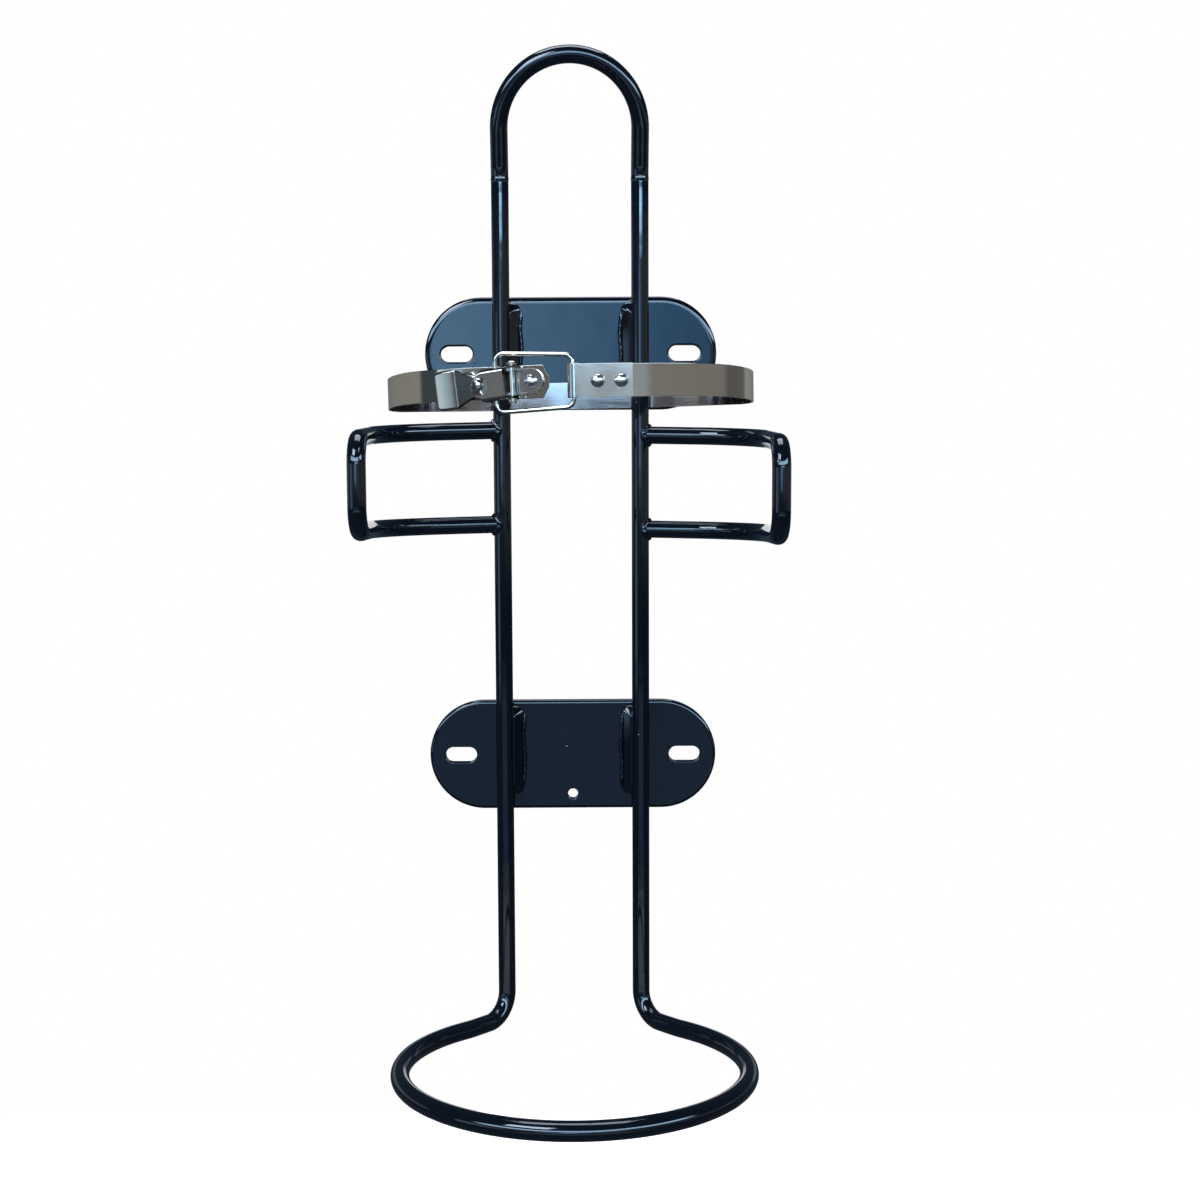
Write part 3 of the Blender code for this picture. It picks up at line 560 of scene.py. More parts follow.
@dataclass(frozen=True)
class Enamel:
    """Black stoving enamel, dipped: a deep glossy coat that sags a little and shows orange peel.

    The eye gets a blue-black with no grain, and clear reflections that wander along the rod and
    break up on the plates' rims.
    """

    name: str = "black_stoving_enamel"
    coat_hex: str = "#060b14"
    thin_hex: str = "#0a111c"
    sheen_hex: str = "#d9ecff"
    ior: float = 1.52
    roughness: float = 0.06
    cloud_mm: float = 26.316
    haze_mm: float = 4.762
    haze_range: tuple[float, float] = (0.35, 0.75)
    gloss_spread: tuple[float, float] = (0.7, 1.5)
    coat_weight: float = 0.35
    coat_roughness: float = 0.03
    peel_mm: float = 1.6
    peel_depth: float = 0.000003
    nib_mm: float = 16.0
    nib_size: float = 0.055
    nib_depth: float = 0.00025
    sag_mm: float = 16.0
    sag_depth: float = 0.00009

    def make(self) -> bpy.types.Material:
        """Builds the material.

        Returns:
            The enamel as a node material.
        """
        material, tree, shader = new_material(self.name)
        place = add_node(tree, "ShaderNodeTexCoord").outputs["Object"]
        # The coat is a shade lighter where it ran thin
        cloud = add_node(tree, "ShaderNodeTexNoise", {"Vector": place, "Scale": 1000 / self.cloud_mm, "Detail": 4.0})
        coat, thin = (*hex_to_linear(self.coat_hex), 1), (*hex_to_linear(self.thin_hex), 1)
        tint = add_node(
            tree, "ShaderNodeMix", {"Factor": cloud.outputs["Fac"], 6: coat, 7: thin}, data_type="RGBA"
        )
        tree.links.new(tint.outputs[2], shader.inputs["Base Color"])
        # Dust and handling leave the gloss a little uneven
        haze = add_node(tree, "ShaderNodeTexNoise", {"Vector": place, "Scale": 1000 / self.haze_mm, "Detail": 5.0})
        smooth, dull = (self.roughness * share for share in self.gloss_spread)
        low, high = self.haze_range
        gloss = add_node(
            tree, "ShaderNodeMapRange", {"Value": haze.outputs["Fac"], 1: low, 2: high, 3: smooth, 4: dull}
        )
        tree.links.new(gloss.outputs["Result"], shader.inputs["Roughness"])
        # Slow sag of the wet coat, then the fine orange peel on it
        sag = add_node(tree, "ShaderNodeTexNoise", {"Vector": place, "Scale": 1000 / self.sag_mm, "Detail": 1.0})
        peel = add_node(tree, "ShaderNodeTexNoise", {"Vector": place, "Scale": 1000 / self.peel_mm, "Detail": 2.0})
        slow = add_node(
            tree, "ShaderNodeBump", {"Height": sag.outputs["Fac"], "Strength": 1.0, "Distance": self.sag_depth}
        )
        fine = add_node(
            tree,
            "ShaderNodeBump",
            {"Height": peel.outputs["Fac"], "Strength": 1.0, "Distance": self.peel_depth, "Normal": slow.outputs[0]},
        )
        # A few dust nibs stand in the coat, drawn coarser than real ones so that they show
        dots = add_node(tree, "ShaderNodeTexVoronoi", {"Vector": place, "Scale": 1000 / self.nib_mm, "Randomness": 1.0})
        nib = add_node(
            tree, "ShaderNodeMapRange", {"Value": dots.outputs["Distance"], 1: 0.0, 2: self.nib_size, 3: 1.0, 4: 0.0}
        )
        specks = add_node(
            tree,
            "ShaderNodeBump",
            {"Height": nib.outputs[0], "Strength": 1.0, "Distance": self.nib_depth, "Normal": fine.outputs[0]},
        )
        tree.links.new(specks.outputs["Normal"], shader.inputs["Normal"])
        shader.inputs["IOR"].default_value = self.ior
        shader.inputs["Specular Tint"].default_value = (*hex_to_linear(self.sheen_hex), 1)
        shader.inputs["Coat Weight"].default_value = self.coat_weight
        shader.inputs["Coat Roughness"].default_value = self.coat_roughness
        tree.links.new(slow.outputs["Normal"], shader.inputs["Coat Normal"])
        return material


@dataclass(frozen=True)
class Stainless:
    """Austenitic stainless steel: warm grey metal, with the mill's rolling lines along the strip.

    The rolling lines are drawn several times coarser than real ones, so that they show.
    """

    name: str
    light_hex: str
    dark_hex: str
    roughness: float
    grain_mm: float
    grain_depth: float
    mottle: float = 0.5
    along_z: bool = False
    grain_stretch: float = 0.03
    drawn_stretch: float = 0.04
    cloud_mm: float = 11.111
    cloud_range: tuple[float, float] = (0.3, 0.7)
    gloss_spread: tuple[float, float] = (0.75, 1.35)

    def make(self) -> bpy.types.Material:
        """Builds the material.

        Returns:
            The steel as a node material.
        """
        material, tree, shader = new_material(self.name)
        shader.inputs["Metallic"].default_value = 1.0
        place = add_node(tree, "ShaderNodeTexCoord").outputs["Object"]
        # Rolling lines run along the band, so they are fine across it and long along it
        fine = 1000 / self.grain_mm
        long = fine * self.grain_stretch
        stretch = (fine, fine, fine * self.drawn_stretch) if self.along_z else (long, long, fine)
        drawn = add_node(tree, "ShaderNodeMapping", {"Vector": place, "Scale": stretch})
        grain = add_node(tree, "ShaderNodeTexNoise", {"Vector": drawn.outputs[0], "Scale": 1.0, "Detail": 3.0})
        cloud = add_node(tree, "ShaderNodeTexNoise", {"Vector": place, "Scale": 1000 / self.cloud_mm, "Detail": 4.0})
        blend = add_node(
            tree,
            "ShaderNodeMix",
            {"Factor": self.mottle, 2: grain.outputs["Fac"], 3: cloud.outputs["Fac"]},
            data_type="FLOAT",
        )
        dark, light = (*hex_to_linear(self.dark_hex), 1), (*hex_to_linear(self.light_hex), 1)
        tint = add_node(tree, "ShaderNodeMix", {"Factor": blend.outputs[0], 6: dark, 7: light}, data_type="RGBA")
        tree.links.new(tint.outputs[2], shader.inputs["Base Color"])
        smooth, dull = (self.roughness * share for share in self.gloss_spread)
        low, high = self.cloud_range
        gloss = add_node(
            tree, "ShaderNodeMapRange", {"Value": blend.outputs[0], 1: low, 2: high, 3: smooth, 4: dull}
        )
        tree.links.new(gloss.outputs["Result"], shader.inputs["Roughness"])
        bump = add_node(
            tree, "ShaderNodeBump", {"Height": grain.outputs["Fac"], "Strength": 1.0, "Distance": self.grain_depth}
        )
        tree.links.new(bump.outputs["Normal"], shader.inputs["Normal"])
        return material


def finish_field(finish: Enamel | Stainless) -> Any:
    """A field of the finish set, whose material is built with the set."""
    return field(default_factory=finish.make)


@dataclass
class FinishSet:
    """The finishes of the bracket, each with what its making gives the eye."""

    # Dipped and stoved: the frame's deep wet black
    enamel: bpy.types.Material = finish_field(Enamel())
    # Bright-rolled strip seen from its inner side: a soft mirror with faint lines, its colour a shade lighter than the
    # outer side's as painted reflection of the bright light inside the band
    strap_inside_painted_light: bpy.types.Material = finish_field(
        Stainless("bright_stainless_inner_face", "#d2c7c4", "#c2b7b4", 0.13, 0.9, 0.000002, mottle=0.4)
    )
    # The same strip's outer side: warm grey, sharp reflections drawn out along the rolling lines
    strap: bpy.types.Material = finish_field(
        Stainless("rolled_stainless_strap", "#cbc7c0", "#b9b6af", 0.07, 0.9, 0.000002, mottle=0.3)
    )
    # Pressed sheet: the die leaves it a little matt and wavy
    lever: bpy.types.Material = finish_field(
        Stainless("pressed_stainless_lever", "#c6c0b8", "#aaa6a1", 0.12, 0.7, 0.000006, mottle=0.5)
    )
    # Painted shade: a darker and rougher copy of the lever's steel, for the dark reflection on the lever's
    # forward-facing neck and web
    # This slot paints shade on the neck and web
    neck: bpy.types.Material = finish_field(
        Stainless("drawn_dull_lever_neck", "#343230", "#2b2a28", 0.26, 0.7, 0.000002, mottle=0.7)
    )
    # Pressed and tumbled: bright, with soft rims that catch the light
    base: bpy.types.Material = finish_field(
        Stainless("pressed_bright_latch_base", "#d4d6d8", "#b9bcc0", 0.09, 0.6, 0.000001, mottle=0.7)
    )
    # Satin sheet: pale, even, with blurred reflections
    satin: bpy.types.Material = finish_field(
        Stainless("satin_stainless_plate", "#cac7c3", "#c0bdb9", 0.15, 0.5, 0.000001, mottle=0.8)
    )
    # Cold-headed domes: nearly white, each with one soft glint
    rivet: bpy.types.Material = finish_field(
        Stainless("cold_headed_bright_rivet", "#f2f3f5", "#dfe1e4", 0.22, 0.5, 0.000002, mottle=0.6)
    )
    # Drawn wire: fine lines along it and a bright line of light down its length
    wire: bpy.types.Material = finish_field(
        Stainless("drawn_bright_wire", "#e2dcd2", "#c6c1b9", 0.12, 0.5, 0.000004, mottle=0.6, along_z=True)
    )


# ---- Shared sizes


@dataclass(frozen=True)
class Layout:
    """Sizes that several sub-assemblies share, in metres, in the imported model's frame."""

    seat_gap: float = 0.0003
    rod_diameter: float = 0.010
    rod_spacing: float = 0.0795
    plate_thickness: float = 0.005
    pad_thickness: float = 0.004
    plate_spacing: float = 0.235
    plate_height: float = 0.065
    cylinder_radius: float = 0.0930
    strap_width: float = 0.0153
    strap_thickness: float = 0.0008
    strap_drop: float = 0.0246
    strap_roll: float = math.radians(1.0)
    latch_angle: float = math.radians(19.0)
    latch_roll: float = math.radians(1.5)
    catch_angle: float = math.radians(8.1)
    pin_offset: float = 0.0054
    pin_height: float = 0.0044
    bail_crank: float = 0.0085
    bail_seat_drop: float = 0.0008
    bail_wire: float = 0.0021
    running_gap: float = 0.0002

    @property
    def rod_radius(self) -> float:
        """Half the frame rod's diameter."""
        return self.rod_diameter / 2

    @property
    def half_spacing(self) -> float:
        """How far each upright stands from the middle."""
        return self.rod_spacing / 2

    @property
    def pad_back(self) -> float:
        """The pads' face on the wall plates."""
        return -self.plate_thickness - self.seat_gap

    @property
    def pad_front(self) -> float:
        """The pads' face on the uprights."""
        return self.pad_back - self.pad_thickness

    @property
    def rod_y(self) -> float:
        """The uprights' middle plane."""
        return self.pad_front - self.seat_gap - self.rod_radius

    @property
    def strap_outer(self) -> float:
        """The radius of the strap's outer face."""
        return self.cylinder_radius + self.running_gap + self.strap_thickness

    @property
    def strap_middle(self) -> float:
        """The radius of the strap's middle line."""
        return self.strap_outer - self.strap_thickness / 2

    @property
    def strap_forward(self) -> float:
        """How far the cylinder's axis stands in front of the uprights."""
        reach = self.cylinder_radius + self.rod_radius + self.seat_gap
        return math.sqrt(reach**2 - self.half_spacing**2)

    def heading(self, angle: float, side: Side) -> tuple[Vector, Vector]:
        """A place on the strap's front.

        Args:
            angle: how far round from the front, in radians.
            side: to which side.

        Returns:
            The outward direction there and the direction along the strap towards the right.
        """
        out = Vector((side.value * math.sin(angle), -math.cos(angle)))
        along = Vector((math.cos(angle), side.value * math.sin(angle)))
        return out, along

    def strap_frame(self) -> Matrix:
        """The strap's own frame: the cylinder's axis at the strap's height."""
        shift = Matrix.Translation((0.0, self.rod_y - self.strap_forward, -self.strap_drop))
        return shift @ Matrix.Rotation(-self.strap_roll, 4, "Y")

    def latch_frame(self) -> Matrix:
        """The frame of the latch base, on the strap's outer face."""
        out, _ = self.heading(self.latch_angle, Side.LEFT)
        shift = Matrix.Translation((*(out * self.strap_outer), 0.0))
        turn = Matrix.Rotation(-self.latch_angle, 4, "Z") @ Matrix.Rotation(-self.latch_roll, 4, "Y")
        return self.strap_frame() @ shift @ turn

    def catch_frame(self) -> Matrix:
        """The frame of the catch plate, on the strap's outer face."""
        out, _ = self.heading(self.catch_angle, Side.RIGHT)
        shift = Matrix.Translation((*(out * self.strap_outer), 0.0))
        return self.strap_frame() @ shift @ Matrix.Rotation(self.catch_angle, 4, "Z")

    def lever_frame(self) -> Matrix:
        """The lever's frame, on its pivot pin."""
        return self.latch_frame() @ Matrix.Translation((self.pin_offset, -self.pin_height, 0.0))

    def bail_frame(self) -> Matrix:
        """The bail's frame, on its leg in the lever."""
        return self.lever_frame() @ Matrix.Translation((-self.bail_crank, self.bail_seat_drop, 0.0))


# ---- Enamelled frame


@dataclass
class FrameRod:
    """One bent rod: hairpin top, two uprights and the ring foot, butt-welded into a loop."""

    layout: Layout
    bend_height: float = 0.1008
    hairpin_length: float = 0.0640
    hairpin_lean: float = math.radians(16.0)
    hairpin_bend: float = 0.030
    foot_drop: float = 0.39108
    foot_bend: float = 0.0155
    ring_radius: float = 0.0930
    ring_forward: float = 0.0960
    ring_tilt: float = math.radians(3.4)
    ring_start: float = math.radians(40.66)
    lead_in: float = 0.012
    lead_bend: float = 0.040
    lead_out: float = 1.4
    crease_swell: float = 0.04
    crease_drop: float = 0.0036
    crease_width: float = 0.0008
    long_straight: float = 0.05
    end_steps: tuple[float, ...] = (0.0006, 0.0012, 0.0018, 0.0026)
    sides: int = 32

    def on_ring(self, angle: float) -> Vector:
        """A point of the ring's middle line.

        Args:
            angle: how far round from the back, in radians.

        Returns:
            The point.
        """
        tilt = Matrix.Rotation(-self.ring_tilt, 3, "X")
        plan = Vector((self.ring_radius * math.sin(angle), self.ring_radius * math.cos(angle) - self.ring_forward, 0))
        return Vector((0, self.layout.rod_y, -self.foot_drop)) + tilt @ plan

    def path(self) -> list[Vector]:
        """The rod's middle line.

        Returns:
            Its points, once round the loop from the hairpin's crown.
        """
        lean = Vector((0, -math.sin(self.hairpin_lean), math.cos(self.hairpin_lean)))
        knee = Vector((0, self.layout.rod_y, self.bend_height))
        half = self.layout.half_spacing
        crown = []
        for point in arc((0, 0), half, math.pi / 2, 0, 28):
            crown.append(knee + lean * (self.hairpin_length - half + point.y) + Vector((point.x, 0, 0)))
        side = Vector((half, 0, 0))
        foot = Vector((half, self.layout.rod_y, -self.foot_drop))
        start = self.on_ring(self.ring_start)
        heading = Vector((math.cos(self.ring_start), -math.sin(self.ring_start), 0))
        tangent = Matrix.Rotation(-self.ring_tilt, 3, "X") @ heading
        turn = (start - foot).angle(tangent)
        bends = filleted(
            [crown[-1], knee + side, foot, start, start + tangent * self.lead_in],
            [self.hairpin_bend, self.foot_bend, self.lead_bend],
            14,
        )
        resume = self.ring_start + self.lead_out * self.lead_bend * math.tan(turn / 2) / self.ring_radius
        ring = [self.on_ring(resume + (math.pi - resume) * i / 64) for i in range(65)]
        right = crown + bends[1:-1] + ring
        left = [Vector((-p.x, p.y, p.z)) for p in reversed(right[1:-1])]
        return right + left

    def build(self, finishes: FinishSet) -> None:
        """Builds and dresses the rod."""
        path = []
        corners = self.path()
        # Close stations at the ends of long straights let the narrow crease below the hairpin fade out there
        for a, b in zip(corners, corners[1:] + corners[:1]):
            path.append(a)
            along = b - a
            if along.length > self.long_straight:
                path += [a + along.normalized() * step for step in self.end_steps]
                path += [b - along.normalized() * step for step in reversed(self.end_steps)]
        height = self.bend_height - self.crease_drop
        swell = [1.0 + self.crease_swell * math.exp(-(((p.z - height) / self.crease_width) ** 2)) for p in path]
        bm = rod_mesh(path, self.layout.rod_diameter, self.sides, True, swell)
        rod = keep_mesh("enamelled_frame_rod", bm)
        settle(rod, finishes.enamel, Body.BRACKET, ["frame_rod"])


@dataclass
class SideArm:
    """A rod bent to a U, welded to an upright by its two legs and bowed forward round the cylinder."""

    layout: Layout
    side: Side
    drop: float
    reach: float
    forward: float = 0.0960
    root_forward: float = 0.001
    shoulder_forward: float = 0.006
    shoulder_bend: float = 0.042
    end_bend: float = 0.014
    root_spread: float = 0.0540
    end_spread: float = 0.0480
    droop: float = 0.0028
    root_share: float = 0.6
    bead_diameter: float = 0.0036
    bead_waves: int = 11
    bead_steps: int = 66
    bead_sink: float = 0.0003
    bead_drop: float = 0.0001
    bead_across: float = 0.94
    bead_height: float = 0.96
    bead_ripple: float = 0.07
    bead_sides: int = 12
    sides: int = 32

    def path(self) -> list[Vector]:
        """The arm's middle line.

        Returns:
            Its points, from the upper weld round the end bar to the lower weld.
        """
        rod_y, sign = self.layout.rod_y, self.side.value
        start = self.layout.half_spacing + self.root_share * self.layout.rod_radius
        legs = []
        for up in (1, -1):
            root = up * self.root_spread / 2 - self.drop
            end = up * self.end_spread / 2 - self.drop - self.droop
            legs.append(
                [
                    Vector((sign * start, rod_y - self.root_forward, root)),
                    Vector((sign * self.reach, rod_y - self.shoulder_forward, root - self.droop / 2)),
                    Vector((sign * self.reach, rod_y - self.forward, end)),
                ]
            )
        corners = legs[0] + list(reversed(legs[1]))
        return filleted(corners, [self.shoulder_bend, self.end_bend, self.end_bend, self.shoulder_bend], 20)

    def bead_path(self, up: int) -> tuple[list[Vector], list[float]]:
        """The weld bead's middle line where a leg meets the upright.

        Args:
            up: 1 for the upper leg, -1 for the lower.

        Returns:
            The bead's closed path, and its local thickness, which rises and falls with each dab.
        """
        radius = self.layout.rod_radius
        height = up * self.root_spread / 2 - self.drop - self.bead_drop
        points, factors = [], []
        for i in range(self.bead_steps):
            angle = 2 * math.pi * i / self.bead_steps
            across = self.bead_across * radius * math.cos(angle)
            away = math.sqrt(max(radius**2 - across**2, 0.0)) - self.bead_sink
            x = self.side.value * (self.layout.half_spacing + away)
            y = self.layout.rod_y - self.root_forward * 0.6 + across
            points.append(Vector((x, y, height + self.bead_height * radius * math.sin(angle))))
            wave = math.cos(self.bead_waves * angle) + 0.6 * math.sin(4 * angle + up + self.side.value)
            factors.append(1.0 + self.bead_ripple * wave)
        return points, factors

    def build(self, finishes: FinishSet) -> None:
        """Builds and dresses the arm and its two weld beads."""
        word = self.side.word
        arm = keep_mesh(f"enamelled_{word}_arm", rod_mesh(self.path(), self.layout.rod_diameter, self.sides))
        settle(arm, finishes.enamel, Body.BRACKET, [f"{word}_arm"])
        for up, place in ((1, "upper"), (-1, "lower")):
            points, factors = self.bead_path(up)
            bead = rod_mesh(points, self.bead_diameter, self.bead_sides, closed=True, swell=factors)
            weld = keep_mesh(f"{word}_arm_{place}_weld", bead)
            settle(weld, finishes.enamel, Body.BRACKET)


@dataclass
class WallPlate:
    """A flat plate with round ends and a screw slot at each; the lower one has a small hole too."""

    layout: Layout
    place: str
    height: float
    tie_hole: bool = False
    length: float = 0.169
    edge: float = 0.0038
    fall: float = 0.0019
    slot_edge: float = 0.0010
    slot_spacing: float = 0.132
    slot_length: float = 0.0184
    slot_width: float = 0.009
    hole_diameter: float = 0.006
    hole_edge_distance: float = 0.0088
    back_rim: tuple[tuple[float, float], ...] = ((0.0006, 0.0), (0.0002, -0.0002), (0.0, -0.0006))
    rim_steps: int = 10

    def build(self, finishes: FinishSet) -> None:
        """Builds and dresses the plate."""
        depth = self.layout.plate_thickness
        # The front rim is a quarter of an ellipse, so that a line of light runs round the plate
        profile = list(self.back_rim)
        for i in range(self.rim_steps + 1):
            angle = math.pi / 2 * i / self.rim_steps
            profile.append((self.edge * (1 - math.cos(angle)), -depth + self.fall * (1 - math.sin(angle))))
        rings = []
        for inset, y in profile:
            outline = slot_outline(self.length - 2 * inset, self.layout.plate_height - 2 * inset, 48)
            rings.append([Vector((p.x, y, p.y + self.height)) for p in outline])
        plate = keep_mesh(f"enamelled_{self.place}_plate", lofted(rings))
        tools = []
        for side in Side:
            centre = (side.value * self.slot_spacing / 2, self.height)
            slot = slot_outline(self.slot_length, self.slot_width, 18, centre)
            tools.append(keep_mesh("slot_tool", prism(slot, -2 * depth, depth, Axis.Y)))
        if self.tie_hole:
            low = self.height - self.layout.plate_height / 2 + self.hole_edge_distance
            hole = round_outline(self.hole_diameter / 2, 36, (0.0, low))
            tools.append(keep_mesh("hole_tool", prism(hole, -2 * depth, depth, Axis.Y)))
        combine(plate, tools)
        ease_edges(plate, self.slot_edge, 3)
        weigh_normals(plate)
        settle(plate, finishes.enamel, Body.BRACKET, [f"{self.place}_plate"])


@dataclass
class StandoffPad:
    """A small pad between upright and plate, with a run of weld down its inner edge."""

    layout: Layout
    side: Side
    place: str
    plate_height: float
    height: float
    width: float = 0.0165
    corner: float = 0.005
    top_margin: float = 0.0035
    overhang: float = 0.0005
    pitch: float = 0.0042
    fall: float = 0.0064
    fall_depth: float = 0.0034
    bead_share: float = 0.62
    bead_sink: float = 0.0012
    bead_sway: float = 0.0004
    dab_steps: int = 10
    bead_sides: int = 16

    def build(self, finishes: FinishSet) -> None:
        """Builds and dresses the pad and its bead."""
        top = self.plate_height + self.layout.plate_height / 2 - self.top_margin
        outer = self.layout.half_spacing + self.layout.rod_radius + self.overhang
        inner = outer - self.width
        sign = self.side.value
        low, high = sorted((sign * inner, sign * outer))
        front, back = self.layout.pad_front, self.layout.pad_back
        name = f"{self.place}_{self.side.word}_pad"
        corners = (low, top - self.height), (high, top)
        shape = crowned(*corners, self.corner, front, back, self.fall, self.fall_depth)
        pad = keep_mesh(f"enamelled_{name}", shape, sharp=60.0)
        settle(pad, finishes.enamel, Body.BRACKET, [name])
        run = self.height - 2 * self.corner
        count = self.dab_steps * round(run / self.pitch)
        points, factors = [], []
        for i in range(count + 1):
            share = i / count
            sway = self.bead_sway * math.sin(9 * share + sign)
            points.append(Vector((sign * (inner + sway), back - self.bead_sink, top - self.corner - run * share)))
            dab = abs(math.sin(math.pi * i / self.dab_steps + 0.4))
            fade = min(1.0, 5 * share + 0.5, 5 * (1 - share) + 0.5)
            factors.append(fade * (0.95 + 0.05 * dab))
        bead = rod_mesh(points, self.bead_share * self.layout.pad_thickness, self.bead_sides, swell=factors)
        weld = keep_mesh(f"{name}_weld", bead)
        settle(weld, finishes.enamel, Body.BRACKET)


# ---- Strap and latch


@dataclass
class Rivet:
    """A domed rivet through a latch piece and the strap."""

    shank: float = 0.0030
    head: float = 0.0065
    head_height: float = 0.0019
    tail: float = 0.0048
    tail_thickness: float = 0.0006
    bedding: float = 0.00005
    bore_gap: float = 0.0002
    bore_span: tuple[float, float] = (-0.005, 0.003)

    def profile(self, stack: float) -> list[tuple[float, float]]:
        """The rivet's half section.

        Args:
            stack: the thickness it clamps.

        Returns:
            (radius, height) points from the dome's crown to the tail.
        """
        head, shank, tail = self.head / 2, self.shank / 2, self.tail / 2
        dome = (head**2 + self.head_height**2) / (2 * self.head_height)
        span = math.asin(head / dome)
        points = []
        for i in range(15):
            angle = span * i / 14
            points.append((dome * math.sin(angle), self.head_height - dome * (1 - math.cos(angle))))
        points += [(head * 0.985, -self.bedding), (shank, -self.bedding), (shank, -stack), (tail * 0.97, -stack)]
        points += [(tail, -stack - 0.15 * self.tail_thickness), (tail, -stack - 0.6 * self.tail_thickness)]
        points += [(tail * 0.85, -stack - self.tail_thickness), (0.0, -stack - self.tail_thickness)]
        return points

    def build(self, node: str, layout: Layout, frame: Matrix, along: float, sheet: float, finishes: FinishSet) -> None:
        """Builds and dresses one rivet.

        Args:
            node: the solid it stands for.
            layout: the shared sizes.
            frame: the frame of the latch piece it holds.
            along: its place along that piece.
            sheet: that piece's thickness.
            finishes: the set of finishes.
        """
        stack = sheet + layout.strap_thickness + 3 * layout.seat_gap
        seat = Matrix.Translation((along, -(sheet + 2 * layout.seat_gap), 0.0))
        place = frame @ seat @ Matrix.Rotation(math.pi / 2, 4, "X")
        piece = keep_mesh(f"bright_{node}", turned(self.profile(stack)), place)
        settle(piece, finishes.rivet, Body.BRACKET, [node])

    def hole(self, frame: Matrix, along: float) -> bpy.types.Object:
        """The tool that cuts this rivet's hole.

        Args:
            frame: the frame of the piece.
            along: the hole's place along it.

        Returns:
            The tool.
        """
        outline = round_outline(self.shank / 2 + self.bore_gap, BORE_STEPS, (along, 0.0))
        return keep_mesh("rivet_hole", prism(outline, *self.bore_span, Axis.Y), frame)


@dataclass
class CatchPlate:
    """The plate riveted to the strap's end, its left end folded forward and back into a hook."""

    layout: Layout
    sheet: float = 0.0010
    width: float = 0.0157
    length: float = 0.0309
    fold_gap: float = 0.0043
    flap_length: float = 0.0056
    flap_corner: float = 0.0020
    rivet_spacing: float = 0.0110
    rivet_margin: float = 0.0055
    strap_under: float = 0.0240
    end_ease: float = 0.0004
    edge: float = 0.0002
    leg_play: float = 2.6

    @property
    def rivet_places(self) -> dict[str, float]:
        """Node name to the rivet's place along the plate."""
        right = self.length / 2 - self.rivet_margin
        return {"catch_right_rivet": right, "catch_left_rivet": right - self.rivet_spacing}

    def seat(self) -> Vector:
        """Where the bail's far leg hooks in the fold.

        Returns:
            The leg's middle in the strap's plan.
        """
        out, along = self.layout.heading(self.layout.catch_angle, Side.RIGHT)
        wire = self.layout.bail_wire / 2
        away = self.layout.strap_outer + 3 * self.layout.seat_gap + self.sheet + wire
        place = -self.length / 2 + self.sheet + wire + self.leg_play * self.layout.seat_gap
        return out * away + along * place

    def stations(self) -> list[tuple[Vector, float]]:
        """The plate's middle line and half heights, in its own frame.

        Returns:
            A point and the half height there, from the right end round the fold to the flap's end.
        """
        half = self.width / 2
        radius = self.fold_gap / 2 + self.sheet / 2
        middle = -(self.layout.seat_gap + self.sheet / 2)
        left = -self.length / 2 + radius + self.sheet / 2
        stations = [(Vector((self.length / 2, middle)), half - self.end_ease)]
        stations.append((Vector((self.length / 2 - self.end_ease, middle)), half))
        for i in range(1, 8):
            share = i / 8
            stations.append((Vector((self.length / 2 * (1 - share) + left * share, middle)), half))
        stations.append((Vector((left, middle)), half))
        for point in arc((left, middle - radius), radius, math.pi / 2, 1.5 * math.pi, 22)[1:]:
            stations.append((point, half))
        end = -self.length / 2 + self.flap_length
        front = middle - 2 * radius
        for i in range(9):
            angle = math.pi / 2 * i / 8
            x = end - self.flap_corner * (1 - math.sin(angle))
            stations.append((Vector((x, front)), half - self.flap_corner * (1 - math.cos(angle))))
        return stations

    def build(self, finishes: FinishSet) -> None:
        """Builds and dresses the plate and its rivets."""
        frame = self.layout.catch_frame()
        bm = strip_mesh(self.stations(), self.sheet, self.edge)
        plate = keep_mesh("satin_catch_plate", bm, frame, 50.0)
        rivet = Rivet()
        combine(plate, [rivet.hole(frame, along) for along in self.rivet_places.values()])
        weigh_normals(plate)
        settle(plate, finishes.satin, Body.BRACKET, ["catch_plate"])
        for node, along in self.rivet_places.items():
            rivet.build(node, self.layout, frame, along, self.sheet, finishes)


